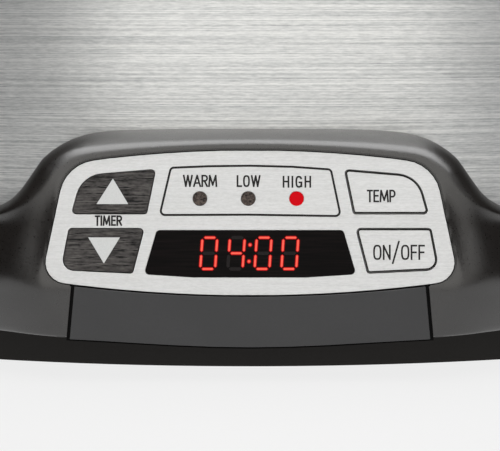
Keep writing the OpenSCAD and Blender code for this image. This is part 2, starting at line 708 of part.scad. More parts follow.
// A block swept along the body's end, hollowed for the fingers.
module handle(side) {
    reach = finger_gap + grip_t;
    in_place() difference() {
        end_piece(side, 0, grip_half) translate([0, handle_z]) polygon(outline([
            [seat, -14.5, 0], [reach, -grip_h / 2, 3.2], [reach, grip_h / 2, 3.2], [seat, 14.5, 0]]));
        end_piece(side, 0, grip_half - 2 * arm_half) translate([seat + 2.6, handle_z - 20])
            square([finger_gap - seat - 2.6, 40]);
        handle_screw_places() translate([0, 0, -1]) cylinder(r = 1.9 + fit, h = 15);
    }
}
module handle_left() { color("#1b1a19") handle(-1); }
module handle_right() { color("#1b1a19") handle(1); }
module handle_screws() {
    color("#8f8f8f") in_place() handle_screw_places() {
        translate([0, 0, -wrap_t - 2.6]) cylinder(r = 3.4, h = 2.4);
        translate([0, 0, -wrap_t - 1]) cylinder(r = 1.9, h = 13.4);
    }
}
module cord_gland() {
    color("#171716") in_place() translate([0, 0, gland_z]) difference() {
        union() {
            bar_y(gland_r + 3, rear_face, rear_face + gland_flange);
            bar_y(gland_r, half_wid - 3.5, rear_face + 1);
        }
        bar_y(cord_r, half_wid - 6, rear_face + gland_flange + 1);
    }
}
module gland_nut() {
    color("#8f8f8f") in_place() translate([0, 0, gland_z]) difference() {
        bar_y(gland_z - shelf_z - seat, half_wid + 0.6, rear_face - base_wall - 2.3);
        bar_y(gland_r + fit, half_wid, rear_face);
    }
}

// ---------- Crock and lid ----------

crock_profile = concat(
    [[crown_in - 4, crock_low_z]],
    reversed(quarter([crock_out, crock_low_z + 14], [crock_out - 14, crock_low_z])),
    [[crock_out, rim_z], [0.6, rim_z]],
    arc([0.2, rim_z + 2], 2, -60, 0, 4),
    arc([0.2, rim_top_z - 2.5], 2, 0, 90, 5),
    [[rabbet_in + 0.8, rim_top_z - 0.5], [rabbet_in, rim_top_z - 1.3], [rabbet_in, ledge_z]],
    [[crock_in + 1.2, ledge_z], [crock_in, ledge_z - 1.2]],
    quarter([crock_in, crock_floor_z + 18], [crock_in - 18, crock_floor_z]),
    [[crown_in - 4, crock_floor_z]]
);
module crock() {
    color("#141312") in_place() {
        oval_sweep() polygon(crock_profile);
        oval_plate(crown_in, crock_low_z, crock_floor_z);
        for (side = [-1, 1]) end_piece(side, 0, 20) polygon(outline([
            [-2, rim_z + 0.4, 0], [lug_reach, rim_z + 1.6, 1.6], [lug_reach, rim_top_z - 1.6, 1.6],
            [-2, rim_top_z - 1.2, 0]]));
    }
}

dome_z = crown_z - dome_r;
lid_edge = asin((glass_flange_z - dome_z) / dome_r);
lid_inner = asin((glass_z - dome_z) / (dome_r - glass_t));
lid_profile = concat(
    [[glass_out, glass_z + 1], [glass_out, glass_z + glass_t - 1], [glass_out - 1, glass_z + glass_t]],
    arc([crown_in, dome_z], dome_r, lid_edge, 90, 16),
    [[crown_in - 4, crown_z], [crown_in - 4, crown_z - glass_t]],
    arc([crown_in, dome_z], dome_r - glass_t, 90, lid_inner, 16),
    [[glass_out - 1, glass_z]]
);
module lid_glass() {
    color("#b9c4c6") in_place() difference() {
        union() {
            oval_sweep() polygon(lid_profile);
            oval_plate(crown_in, crown_z - glass_t, crown_z);
        }
        translate([0, 0, crown_z - glass_t - 1]) cylinder(r = 3 + fit, h = glass_t + 2);
    }
}
knob_r = knob_d / 2;
module lid_knob() {
    color("#191817") in_place() translate([0, 0, crown_z + 1]) difference() {
        rotate_extrude() polygon(concat(
            [[0, 0], [15, 0], [15.5, 1.5]],
            arc([16.2, knob_h * 0.36], 6, 250, 180, 6),
            arc([knob_r - 4, knob_h * 0.62 + 3], 4, -90, 30, 6),
            [for (i = [1:8]) let (x = (knob_r - 0.5) * cos(i * 90 / 8)) [x, knob_h * 0.62 + 5 + (knob_h * 0.38 - 5) * sin(i * 90 / 8)]]
        ));
        translate([0, 0, -1]) cylinder(r = 2.4 + fit, h = 15);
    }
}
module knob_washer() {
    color("#2e2d2c") in_place() translate([0, 0, crown_z]) difference() {
        cylinder(r = 14, h = 1);
        translate([0, 0, -1]) cylinder(r = 3 + fit, h = 3);
    }
}
module knob_screw() {
    color("#b0b0b0") in_place() translate([0, 0, crown_z - glass_t]) {
        translate([0, 0, -2.4]) cylinder(r = 5.5, h = 2.4);
        cylinder(r = 2.4, h = glass_t + 13);
    }
}

base_shell();
bottom_cover();
rubber_feet();
cover_screws();
outer_wrap();
front_cover();
panel_overlay();
display_window();
lamp_warm();
lamp_low();
lamp_high();
key_timer_up();
key_timer_down();
key_temp();
key_power();
plunger_timer_up();
plunger_timer_down();
plunger_temp();
plunger_power();
control_board();
board_screws();
display_module();
indicator_leds();
key_switches();
buzzer();
power_board();
power_board_screws();
relay();
transformer();
filter_capacitor();
terminal_block();
ribbon_cable();
heater_leads();
sensor_lead();
temperature_sensor();
thermal_fuse();
heating_pot();
heater_band();
band_strap();
strap_screw();
pot_brackets();
bracket_screws();
heat_shield();
shield_screws();
handle_left();
handle_right();
handle_screws();
cord_gland();
gland_nut();
crock();
lid_glass();
lid_knob();
knob_screw();
knob_washer();
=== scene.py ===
"""Programmable slow cooker: its looks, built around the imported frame.

The cooker stands on the origin with its control panel facing -Y. Sizes in this file are
millimetres and Blender's are metres, so a mesh is scaled by MM as it is placed. The studio's
own places are in metres.
"""

import logging
import math
from collections.abc import Iterator, Sequence
from contextlib import contextmanager
from dataclasses import dataclass, field
from enum import Enum

import bpy
import numpy as np
from mathutils import Matrix, Vector


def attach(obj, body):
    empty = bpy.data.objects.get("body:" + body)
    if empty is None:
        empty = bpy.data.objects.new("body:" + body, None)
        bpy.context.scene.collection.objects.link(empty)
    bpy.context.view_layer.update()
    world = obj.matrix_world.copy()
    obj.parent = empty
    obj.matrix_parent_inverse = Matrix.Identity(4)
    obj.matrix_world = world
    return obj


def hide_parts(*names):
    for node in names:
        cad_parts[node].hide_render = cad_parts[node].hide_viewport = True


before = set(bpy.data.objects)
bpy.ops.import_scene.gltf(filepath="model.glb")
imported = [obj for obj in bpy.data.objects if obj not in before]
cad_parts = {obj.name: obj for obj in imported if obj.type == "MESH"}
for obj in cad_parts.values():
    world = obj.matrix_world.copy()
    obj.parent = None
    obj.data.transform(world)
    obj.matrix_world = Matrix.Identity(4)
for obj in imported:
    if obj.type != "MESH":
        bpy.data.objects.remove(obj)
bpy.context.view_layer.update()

MM = 0.001
LOG = logging.getLogger("slow_cooker")
Point = tuple[float, float]
Corner = tuple[float, float, float]
Box = tuple[float, float, float, float]
Socket = bpy.types.NodeSocket
Tree = bpy.types.NodeTree
Node = bpy.types.Node
Piece = bpy.types.Object


# ---------------------------------------------------------------- finishes


def linear(hex_colour: str) -> tuple[float, float, float, float]:
    """Turn an sRGB hex colour into linear RGBA.

    Args:
        hex_colour: Six hex digits after a hash.

    Returns:
        Red, green, blue and a full alpha, as a shader wants them.
    """
    parts = [int(hex_colour[i : i + 2], 16) / 255 for i in (1, 3, 5)]
    lin = [p / 12.92 if p <= 0.04045 else ((p + 0.055) / 1.055) ** 2.4 for p in parts]
    return (lin[0], lin[1], lin[2], 1.0)


def per_mm(size_mm: float) -> float:
    """Texture scale, in cycles to the metre, whose features are size_mm across."""
    return 1.0 / (size_mm * MM)


def add(tree: Tree, kind: str, inputs: dict, **settings: object) -> Node:
    """Add one node, set it up and link it.

    Args:
        tree: The material's node tree.
        kind: Blender's name of the node type, without its ShaderNode.
        inputs: For each input, by its name or number, its value, its source socket or the
            node whose first output is its source.
        settings: Properties of the node itself.

    Returns:
        The new node.
    """
    made = tree.nodes.new(f"ShaderNode{kind}")
    for name, value in settings.items():
        setattr(made, name, value)
    for key, value in inputs.items():
        source = value.outputs[0] if isinstance(value, Node) else value
        if isinstance(source, Socket):
            tree.links.new(source, made.inputs[key])
        else:
            made.inputs[key].default_value = value
    return made


@dataclass(frozen=True)
class Finish:
    """What a surface is made of and how it was made; name is also the material's name.

    A finish has a colour, and a tone that its pattern takes it to.
    """

    name: str
    slot: str
    colour: str = "#ffffff"
    tone: str = "#ffffff"

    def shader(self, tree: Tree, place: Socket) -> Node:
        """Build the pattern on the object's own coordinates, and return the shader."""
        raise NotImplementedError

    def surface(self, tree: Tree, inputs: dict, share: Node | None = None, into: str = "Base Color",
                relief: tuple[Node, float, float] | None = None, tone_first: bool = False) -> Node:
        """Add the shader itself, with the two colours blended and the relief as bump.

        Args:
            tree: The material's node tree.
            inputs: The shader's other inputs.
            share: How far the blend is from its first colour to its second, 0 to 1.
            into: The input that takes the blend.
            relief: Source of the height, the bump's strength and its height in millimetres.
            tone_first: The blend goes from tone to colour, not from colour to tone.

        Returns:
            The shader.
        """
        if share is not None:
            first, second = (self.tone, self.colour) if tone_first else (self.colour, self.tone)
            blend = add(tree, "Mix", {0: share, 6: linear(first), 7: linear(second)}, data_type="RGBA")
            inputs = {into: blend.outputs[2], **inputs}
        if relief is not None:
            height, strength, depth_mm = relief
            bump = add(tree, "Bump", {"Height": height, "Strength": strength, "Distance": depth_mm * MM})
            inputs = {"Normal": bump, **inputs}
        return add(tree, "BsdfPrincipled", inputs)

    def material(self) -> bpy.types.Material:
        """The Blender material of this finish, made on first use.

        Returns:
            The material, shared by every piece of this finish.
        """
        found = bpy.data.materials.get(self.name)
        if found is not None:
            return found
        made = bpy.data.materials.new(self.name)
        made.use_nodes = True
        tree = made.node_tree
        tree.nodes.clear()
        place = add(tree, "TexCoord", {}).outputs["Object"]
        add(tree, "OutputMaterial", {"Surface": self.shader(tree, place)})
        return made


@dataclass(frozen=True)
class MouldedPlastic(Finish):
    """Injection-moulded ABS or polypropylene: satin, with the mould's spark-eroded grain."""

    roughness: float = 0.42
    grain_mm: float = 0.5
    depth_mm: float = 0.012
    specular: float = 0.5

    def shader(self, tree: Tree, place: Socket) -> Node:
        """Fine grain as bump, with a slow drift of tone from the mould's flow.

        Args:
            tree: The material's node tree.
            place: The object's own coordinates.

        Returns:
            The shader.
        """
        drift = add(tree, "TexNoise", {"Vector": place, "Scale": per_mm(22), "Detail": 3.0})
        # Real grain is about 0.1 mm; it is drawn coarser so that it shows.
        grain = add(tree, "TexNoise", {"Vector": place, "Scale": per_mm(self.grain_mm), "Detail": 2.0,
                                       "Roughness": 0.6})
        fleck = add(tree, "Math", {0: drift, 1: grain}, operation="MULTIPLY")
        share = add(tree, "MapRange", {"Value": fleck, "From Min": 0.1, "From Max": 0.42})
        rough = add(tree, "MapRange", {"Value": grain, "From Min": 0.25, "From Max": 0.75,
                                       "To Min": self.roughness - 0.06, "To Max": self.roughness + 0.08})
        return self.surface(tree, {"Roughness": rough, "IOR": 1.5, "Specular IOR Level": self.specular},
                            share, relief=(grain, 0.6, self.depth_mm))


@dataclass(frozen=True)
class BrushedMetal(Finish):
    """Sheet brushed in one direction: straight level lines that smear reflections upright."""

    colour: str = "#dcdcda"
    tone: str = "#989a9b"
    roughness: float = 0.36
    anisotropy: float = 0.8
    lengths_mm: Point = (180.0, 3.4)
    row_mm: float = 0.27
    short_share: float = 0.4
    depth_mm: float = 0.004
    metallic: float = 1.0
    specular: float = 0.5
    spread: Point = (0.3, 0.62)

    def shader(self, tree: Tree, place: Socket) -> Node:
        """Scratches in rows, each row with its own run of long and short ones.

        Args:
            tree: The material's node tree.
            place: The object's own coordinates.

        Returns:
            The shader.
        """
        axes = add(tree, "SeparateXYZ", {0: place})
        # Real scratches are under 0.1 mm wide; a row is drawn wider so that it shows.
        rows = add(tree, "Math", {0: axes.outputs[2], 1: per_mm(self.row_mm)}, operation="MULTIPLY")
        row = add(tree, "Math", {0: rows}, operation="FLOOR")
        # Rows are set far apart in the noise, so that neighbours have nothing in common.
        apart = add(tree, "Math", {0: row, 1: 7.31}, operation="MULTIPLY")
        runs: list[Node] = []
        for length in self.lengths_mm:
            x, y = (add(tree, "Math", {0: axes.outputs[i], 1: per_mm(length)}, operation="MULTIPLY")
                    for i in (0, 1))
            spot = add(tree, "CombineXYZ", {0: x, 1: y, 2: apart})
            runs.append(add(tree, "TexNoise",
                            {"Vector": spot, "Scale": 1.0, "Detail": 2.0, "Roughness": 0.6}))
        both = add(tree, "Mix", {0: self.short_share, 2: runs[0], 3: runs[1]}, data_type="FLOAT")
        low, high = self.spread
        share = add(tree, "MapRange", {"Value": both, "From Min": low, "From Max": high})
        rough = add(tree, "MapRange", {"Value": both, "From Min": 0.3, "From Max": 0.7,
                                       "To Min": self.roughness + 0.05, "To Max": self.roughness - 0.04})
        along = add(tree, "Tangent", {}, direction_type="RADIAL", axis="Z")
        return self.surface(tree, {
            "Roughness": rough, "Metallic": self.metallic, "Anisotropic": self.anisotropy,
            "Anisotropic Rotation": 0.25, "Tangent": along, "Specular IOR Level": self.specular},
            share, relief=(both, 0.3, self.depth_mm), tone_first=True)


@dataclass(frozen=True)
class RolledMetal(Finish):
    """Plain rolled or plated metal: a soft sheen with faint wear and handling marks."""

    roughness: float = 0.32
    mark_mm: float = 6.0

    def shader(self, tree: Tree, place: Socket) -> Node:
        """Cloudy plating tone, with fine scuffs in the gloss.

        Args:
            tree: The material's node tree.
            place: The object's own coordinates.

        Returns:
            The shader.
        """
        cloud = add(tree, "TexNoise", {"Vector": place, "Scale": per_mm(self.mark_mm), "Detail": 4.0})
        scuff = add(tree, "TexNoise", {"Vector": place, "Scale": per_mm(0.8), "Detail": 5.0})
        rough = add(tree, "MapRange", {"Value": scuff, "From Min": 0.3, "From Max": 0.7,
                                       "To Min": self.roughness - 0.08, "To Max": self.roughness + 0.1})
        return self.surface(tree, {"Roughness": rough, "Metallic": 1.0}, cloud,
                            relief=(scuff, 0.3, 0.004), tone_first=True)


@dataclass(frozen=True)
class TintedWindow(Finish):
    """Smoked acrylic over the clock, with the faint level lines of its hard coat."""

    colour: str = "#060505"
    tone: str = "#0f0b0b"

    def shader(self, tree: Tree, place: Socket) -> Node:
        """Near-black and glossy, faintly lined.

        Args:
            tree: The material's node tree.
            place: The object's own coordinates.

        Returns:
            The shader.
        """
        line = add(tree, "Mapping", {"Vector": place, "Scale": (per_mm(14), per_mm(14), per_mm(0.5))})
        ruled = add(tree, "TexNoise", {"Vector": line, "Scale": 1.0, "Detail": 2.0})
        share = add(tree, "MapRange", {"Value": ruled, "From Min": 0.4, "From Max": 0.7})
        rough = add(tree, "MapRange", {"Value": ruled, "To Min": 0.12, "To Max": 0.34})
        return self.surface(tree, {"Roughness": rough, "IOR": 1.49, "Specular IOR Level": 0.05}, share)


@dataclass(frozen=True)
class Glow(Finish):
    """A light-emitting diode seen through its red diffuser: colour and tone are its light's."""

    strength: float = 1.0
    base: str = "#5a0a05"

    def shader(self, tree: Tree, place: Socket) -> Node:
        """Even red light that mottles a little with the diffuser's grain.

        Args:
            tree: The material's node tree.
            place: The object's own coordinates.

        Returns:
            The shader.
        """
        mottle = add(tree, "TexNoise", {"Vector": place, "Scale": per_mm(0.7), "Detail": 2.0})
        return self.surface(tree, {
            "Base Color": linear(self.base), "Roughness": 0.5, "Specular IOR Level": 0.06,
            "Emission Strength": self.strength}, mottle, "Emission Color", tone_first=True)


@dataclass(frozen=True)
class Ink(Finish):
    """Screen-printed ink: a thin matt film with pinholes and a slightly uneven edge."""

    colour: str = "#100e0d"
    tone: str = "#1b1817"
    roughness: float = 0.55

    def shader(self, tree: Tree, place: Socket) -> Node:
        """Matt ink with the mesh of the screen in its tone.

        Args:
            tree: The material's node tree.
            place: The object's own coordinates.

        Returns:
            The shader.
        """
        mesh = add(tree, "TexNoise", {"Vector": place, "Scale": per_mm(0.3), "Detail": 3.0})
        share = add(tree, "MapRange", {"Value": mesh, "From Min": 0.35, "From Max": 0.75})
        return self.surface(tree, {"Roughness": self.roughness, "Specular IOR Level": 0.2}, share,
                            relief=(mesh, 0.2, 0.003))


@dataclass(frozen=True)
class Glaze(Finish):
    """Glazed stoneware: glassy black with iron specks and the glaze's orange-peel."""

    colour: str = "#15130f"
    tone: str = "#2b251e"

    def shader(self, tree: Tree, place: Socket) -> Node:
        """Deep gloss over a speckled body.

        Args:
            tree: The material's node tree.
            place: The object's own coordinates.

        Returns:
            The shader.
        """
        speck = add(tree, "TexVoronoi", {"Vector": place, "Scale": per_mm(2.2)})
        dots = add(tree, "MapRange", {"Value": speck, "From Min": 0.3, "From Max": 0.12})
        peel = add(tree, "TexNoise", {"Vector": place, "Scale": per_mm(5), "Detail": 2.0})
        share = add(tree, "Math", {0: dots, 1: peel}, operation="MULTIPLY")
        rough = add(tree, "MapRange", {"Value": peel, "To Min": 0.1, "To Max": 0.2})
        return self.surface(
            tree, {"Roughness": rough, "IOR": 1.52, "Coat Weight": 0.6, "Coat Roughness": 0.06},
            share, relief=(peel, 0.35, 0.03))


@dataclass(frozen=True)
class TemperedGlass(Finish):
    """Pressed and tempered soda-lime glass: clear, with the press's slight waviness."""

    colour: str = "#eef4f1"

    def shader(self, tree: Tree, place: Socket) -> Node:
        """Clear glass whose surface wanders a little, so reflections swim.

        Args:
            tree: The material's node tree.
            place: The object's own coordinates.

        Returns:
            The shader.
        """
        wave = add(tree, "TexNoise", {"Vector": place, "Scale": per_mm(24), "Detail": 1.0})
        return self.surface(tree, {"Base Color": linear(self.colour), "Roughness": 0.02, "IOR": 1.52,
                                   "Transmission Weight": 1.0}, relief=(wave, 0.3, 0.12))


@dataclass(frozen=True)
class CircuitBoard(Finish):
    """FR-4 laminate under green solder mask, with tracks that show as lighter lines."""

    colour: str = "#14522f"
    tone: str = "#2b7a48"

    def shader(self, tree: Tree, place: Socket) -> Node:
        """Tracks as the edges of a cell pattern under glossy mask.

        Args:
            tree: The material's node tree.
            place: The object's own coordinates.

        Returns:
            The shader.
        """
        track = add(tree, "TexVoronoi", {"Vector": place, "Scale": per_mm(4)},
                    feature="DISTANCE_TO_EDGE", distance="EUCLIDEAN")
        edge = add(tree, "MapRange", {"Value": track, "From Min": 0.1, "From Max": 0.06})
        return self.surface(tree, {"Roughness": 0.3}, edge, relief=(edge, 0.5, 0.03))


@dataclass(frozen=True)
class Stranded(Finish):
    """Ribbon cable or braided sleeve: parallel strands that show as stripes and ridges."""

    colour: str = "#a8a8a4"
    tone: str = "#7e7e7a"
    pitch_mm: float = 1.27
    direction: str = "X"
    roughness: float = 0.6

    def shader(self, tree: Tree, place: Socket) -> Node:
        """Stripes at the strands' pitch, raised as bump.

        Args:
            tree: The material's node tree.
            place: The object's own coordinates.

        Returns:
            The shader.
        """
        # A wave texture has about one band for every 0.314 of a unit at scale 1.
        band = add(tree, "TexWave", {"Vector": place, "Scale": per_mm(self.pitch_mm) * 0.314,
                                     "Distortion": 0.6}, bands_direction=self.direction)
        return self.surface(tree, {"Roughness": self.roughness}, band, relief=(band, 0.7, 0.15),
                            tone_first=True)


HOUSING = MouldedPlastic("satin_black_ABS", "black_plastic", "#0e0b09", "#130f0c", 0.31, 0.45, 0.025, 1.0)
BASE_SKIN = MouldedPlastic("dull_black_polypropylene", "base_plastic", "#120f0c", "#171411", 0.6, 0.6,
                           specular=0.3)
FACET = MouldedPlastic("grey_black_ABS_facet", "cover_plastic", "#29292a", "#303031", 0.45)
GRIP = MouldedPlastic("black_phenolic_grip", "handle_plastic", "#1b1a19", "#24221f", 0.4, 0.6)
SMALL_PLASTIC = MouldedPlastic("black_nylon", "plunger_plastic", "#1c1b1a", "#2a2826", 0.5, 0.4)
RELAY_CASE = MouldedPlastic("blue_polyester_case", "relay_blue", "#1f4f9c", "#2a5cae", 0.4)
CAPACITOR = MouldedPlastic("red_epoxy_box", "capacitor_red", "#a8402c", "#b85038", 0.4, 0.6)
TERMINAL = MouldedPlastic("cream_nylon_block", "terminal_cream", "#d8cda8", "#e2d9ba", 0.5)
TAPE = MouldedPlastic("yellow_polyester_tape", "tape_yellow", "#d8b52c", "#e2c344", 0.35, 0.8)
LED_BODY = MouldedPlastic("frosted_epoxy", "led_clear", "#d8d4cc", "#e6e2da", 0.3, 0.4)
MODULE = MouldedPlastic("grey_polycarbonate_case", "module_grey", "#77797c", "#85878a", 0.45)
CERAMIC = MouldedPlastic("white_steatite", "fuse_ceramic", "#dcdad2", "#e8e6df", 0.55, 0.4)
MICA = MouldedPlastic("mica_band_wrap", "band_mica", "#8d8069", "#a3967d", 0.5, 1.2, 0.03)
RUBBER = MouldedPlastic("grey_foot_rubber", "foot_rubber", "#2c2b2a", "#363534", 0.8, 0.4, 0.02)
# Painted shadow: a near-black, nearly unreflective fill for the gaps round panel and facet, where there is
# only shade.
SHADOW_FILL = MouldedPlastic("painted_shadow_fill", "foot_rubber", "#050505", "#090808", 0.9, 0.5, 0.02, 0.1)
SILICONE = MouldedPlastic("clear_grey_silicone", "washer_silicone", "#8f8f8c", "#9b9b98", 0.5, 0.6)
UNLIT = MouldedPlastic("unlit_segment", "display_black", "#0f0b0b", "#130e0e", 0.5, 0.4, 0.01, 0.15)
WRAP_STEEL = BrushedMetal("brushed_stainless_steel", "steel_wrap")
# Printed films only look like metal: they are part metallic, and dull at grazing angles.
OVERLAY = BrushedMetal("brushed_silver_film", "silver_panel", "#c4c4c3", "#b5b5b4", roughness=0.6,
                       anisotropy=0.2, lengths_mm=(24.0, 1.6), row_mm=0.25, short_share=0.6,
                       depth_mm=0.002, metallic=0.1, specular=0.3)
DARK_KEY = BrushedMetal("brushed_charcoal_film", "charcoal_key", "#504d4b", "#080707", roughness=0.55,
                        anisotropy=0.3, lengths_mm=(9.0, 2.6), row_mm=0.32, short_share=0.45,
                        depth_mm=0.003, metallic=0.1, specular=0.15, spread=(0.38, 0.63))
DARK_LENS = BrushedMetal("smoked_lens", "lamp_dark", "#564b45", "#0a0807", roughness=0.5,
                         anisotropy=0.2, lengths_mm=(1.6, 0.7), row_mm=0.4, short_share=0.5,
                         depth_mm=0.003, metallic=0.0, specular=0.15, spread=(0.4, 0.62))
LIT_LENS = Glow("lit_red_lens", "lamp_red", "#e60014", "#d40010", 0.84, "#140000")
SEGMENT = Glow("lit_segment_middle", "lamp_red", "#ff7460", "#ff5648")
SEGMENT_EDGE = Glow("lit_segment_edge", "lamp_red", "#dc1016", "#c40812", 0.8, "#300503")
WINDOW = TintedWindow("smoked_acrylic", "display_black")
INK = Ink("black_screen_ink", "charcoal_key")
SILVER_INK = Ink("silver_screen_ink", "silver_panel", "#bcbdbc", "#b2b3b2", 0.5)
SCREW = RolledMetal("zinc_plated_steel", "screw_steel", "#a8a9aa", "#8b8d8f")
STRIP = RolledMetal("galvanised_strip", "strip_steel", "#b3b6b9", "#93979b", 0.4, 9.0)
ALUMINIUM = RolledMetal("spun_aluminium", "pot_aluminium", "#c2c4c6", "#aeb0b3", 0.38, 14.0)
BRASS = RolledMetal("turned_brass", "sensor_brass", "#b9994f", "#a38341", 0.28, 3.0)
STONEWARE = Glaze("black_glazed_stoneware", "stoneware")
LID_GLASS = TemperedGlass("tempered_glass", "lid_glass")
BOARD = CircuitBoard("green_circuit_board", "board_green")
RIBBON = Stranded("grey_ribbon_cable", "cable_grey")
BRAID = Stranded("glass_braid_sleeve", "lead_glass_braid", "#cfcabb", "#a39d8c", 0.7, "DIAGONAL", 0.8)


# ---------------------------------------------------------------- the bench: modelling by hand


# How near two vertices are one, in metres, and how flat two faces are one.
WELD = 1e-6
FLAT_ANGLE = math.radians(0.4)
# A turn or a width under this counts as none.
TINY = 1e-6


def pick(*pieces: Piece) -> None:
    """Go to object mode with just some pieces selected, the first one active.

    Args:
        pieces: What is selected; without any, nothing is.
    """
    if bpy.context.object is not None and bpy.context.object.mode != "OBJECT":
        bpy.ops.object.mode_set(mode="OBJECT")
    bpy.ops.object.select_all(action="DESELECT")
    for piece in pieces:
        piece.select_set(True)
    if pieces:
        bpy.context.view_layer.objects.active = pieces[0]


@contextmanager
def editing(piece: Piece, kind: str = "FACE", everything: bool = False) -> Iterator[None]:
    """Edit mode on one piece, with nothing or everything selected.

    Args:
        piece: The mesh to edit.
        kind: VERT, EDGE or FACE selection.
        everything: Start with all of it selected.

    Returns:
        A context that goes back to object mode when it ends.
    """
    pick(piece)
    bpy.ops.object.mode_set(mode="EDIT")
    bpy.ops.mesh.select_mode(type=kind)
    bpy.ops.mesh.select_all(action="SELECT" if everything else "DESELECT")
    yield
    bpy.ops.object.mode_set(mode="OBJECT")


def move_points(piece: Piece, points_mm: np.ndarray) -> None:
    """Move every vertex of a piece to its place, given in millimetres."""
    piece.data.vertices.foreach_set("co", (points_mm * MM).astype(np.float32).ravel())
    piece.data.update()


def face_out(piece: Piece) -> Piece:
    """Merge doubles and turn every face outwards.

    Args:
        piece: A closed piece.

    Returns:
        The same piece.
    """
    with editing(piece, everything=True):
        bpy.ops.mesh.remove_doubles(threshold=WELD)
        bpy.ops.mesh.normals_make_consistent(inside=False)
    return piece


def settle(piece: Piece, kind: str, **settings: object) -> Piece:
    """Add one modifier and apply it.

    Args:
        piece: The piece it works on.
        kind: Blender's name of the modifier type.
        settings: The modifier's properties.

    Returns:
        The same piece.
    """
    pick(piece)
    modifier = piece.modifiers.new(kind.lower(), kind)
    for name, value in settings.items():
        setattr(modifier, name, value)
    bpy.ops.object.modifier_apply(modifier=modifier.name)
    return piece


def smooth(piece: Piece, degrees: float = 30.0) -> Piece:
    """Shade smooth, keeping the sharp edges.

    Args:
        piece: The piece.
        degrees: Edges sharper than this stay sharp.

    Returns:
        The same piece.
    """
    pick(piece)
    bpy.ops.object.shade_smooth_by_angle(angle=math.radians(degrees))
    return piece


def soften(piece: Piece, width_mm: float, segments: int = 2, degrees: float = 35.0) -> Piece:
    """Round the piece's edges by a small bevel, as a mould or a press does.

    Args:
        piece: The piece.
        width_mm: How far the rounding reaches along each face.
        segments: Facets across the rounding.
        degrees: Edges flatter than this stay.

    Returns:
        The same piece, shaded smooth.
    """
    settle(piece, "BEVEL", width=width_mm * MM, segments=segments, limit_method="ANGLE",
           angle_limit=math.radians(degrees), use_clamp_overlap=True)
    # Large flats shade flat, so that only the rounded edges catch the light.
    return settle(smooth(piece, degrees), "WEIGHTED_NORMAL", keep_sharp=True)


def combine(piece: Piece, other: Piece, how: str = "DIFFERENCE") -> Piece:
    """Cut, join or intersect a piece with another, which is used up.

    Args:
        piece: The piece that stays.
        other: The cutter, or what is joined on.
        how: DIFFERENCE, UNION or INTERSECT.

    Returns:
        The piece.
    """
    settle(piece, "BOOLEAN", object=other, operation=how, solver="MANIFOLD")
    bpy.data.objects.remove(other)
    return piece


def refined(node: str, name: str, bevel_mm: float = 0.0, segments: int = 2, degrees: float = 30.0) -> Piece:
    """A finished copy of a CAD node: merged, cleaned, softened and shaded.

    Args:
        node: The CAD node that it copies.
        name: The new piece's name.
        bevel_mm: Rounding of its edges, or 0 to leave them.
        segments: Facets across the rounding.
        degrees: Angle above which an edge counts as one.

    Returns:
        The copy, with its own mesh.
    """
    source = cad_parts[node]
    piece = bpy.data.objects.new(name, source.data.copy())
    bpy.context.scene.collection.objects.link(piece)
    pick(piece)
    bpy.ops.mesh.customdata_custom_splitnormals_clear()
    with editing(piece, everything=True):
        bpy.ops.mesh.remove_doubles(threshold=WELD)
        if bevel_mm:
            bpy.ops.mesh.dissolve_limited(angle_limit=FLAT_ANGLE)
    return soften(piece, bevel_mm, segments, degrees) if bevel_mm else smooth(piece, degrees)


def fillet(corners: Sequence[Corner], grow: float = 0.0, steps: int = 7) -> list[Point]:
    """A closed outline with its corners rounded, grown evenly by grow.

    Args:
        corners: Across, up and radius of each corner, anticlockwise.
        grow: How far the outline moves out, or in where it is negative.
        steps: Facets of each rounded corner.

    Returns:
        The outline's points in order.
    """
    flat = [Vector(c[:2]) for c in corners]
    count = len(flat)
    out: list[Point] = []
    for i in range(count):
        back, here, on = flat[i - 1], flat[i], flat[(i + 1) % count]
        come, go = (here - back).normalized(), (on - here).normalized()
        turn = come.cross(go)
        side_a, side_b = Vector((come.y, -come.x)), Vector((go.y, -go.x))
        mid = (side_a + side_b) / (1 + side_a.dot(side_b))
        radius = max(corners[i][2] + (grow if turn > 0 else -grow), 0.0) if corners[i][2] else 0.0
        tip = here + mid * grow
        if radius <= 0 or abs(turn) < TINY:
            out.append((tip.x, tip.y))
            continue
        sign = 1.0 if turn > 0 else -1.0
        centre = tip - mid * radius * sign
        first = math.atan2(*(side_a * sign).yx)
        last = math.atan2(*(side_b * sign).yx)
        sweep = (last - first + math.pi) % (2 * math.pi) - math.pi
        out += [(centre.x + radius * math.cos(first + sweep * k / steps),
                 centre.y + radius * math.sin(first + sweep * k / steps)) for k in range(steps + 1)]
    return out


def sheet_of(name: str, outline: Sequence[Point]) -> Piece:
    """Make a flat face from a circle primitive.

    Args:
        name: The piece's name.
        outline: The face's corners in order, in millimetres.

    Returns:
        The face, at height 0.
    """
    pick()
    bpy.ops.mesh.primitive_circle_add(vertices=len(outline), fill_type="NGON")
    piece = bpy.context.object
    piece.name = piece.data.name = name
    move_points(piece, np.array([(x, y, 0.0) for x, y in outline]))
    return piece


def thicken(piece: Piece, low: float, high: float) -> Piece:
    """Extrude a flat piece so that it fills the space between two heights.

    Args:
        piece: The flat piece.
        low: Height of its underside, in millimetres.
        high: Height of its top.

    Returns:
        The same piece, closed and facing outwards.
    """
    with editing(piece, everything=True):
        bpy.ops.transform.translate(value=(0, 0, low * MM))
        bpy.ops.mesh.extrude_region_move(TRANSFORM_OT_translate={"value": (0, 0, (high - low) * MM)})
        bpy.ops.mesh.select_all(action="SELECT")
        bpy.ops.mesh.normals_make_consistent(inside=False)
    return piece


def slab(name: str, outline: Sequence[Point], low: float, high: float) -> Piece:
    """A plate of an outline between two heights."""
    return thicken(sheet_of(name, outline), low, high)


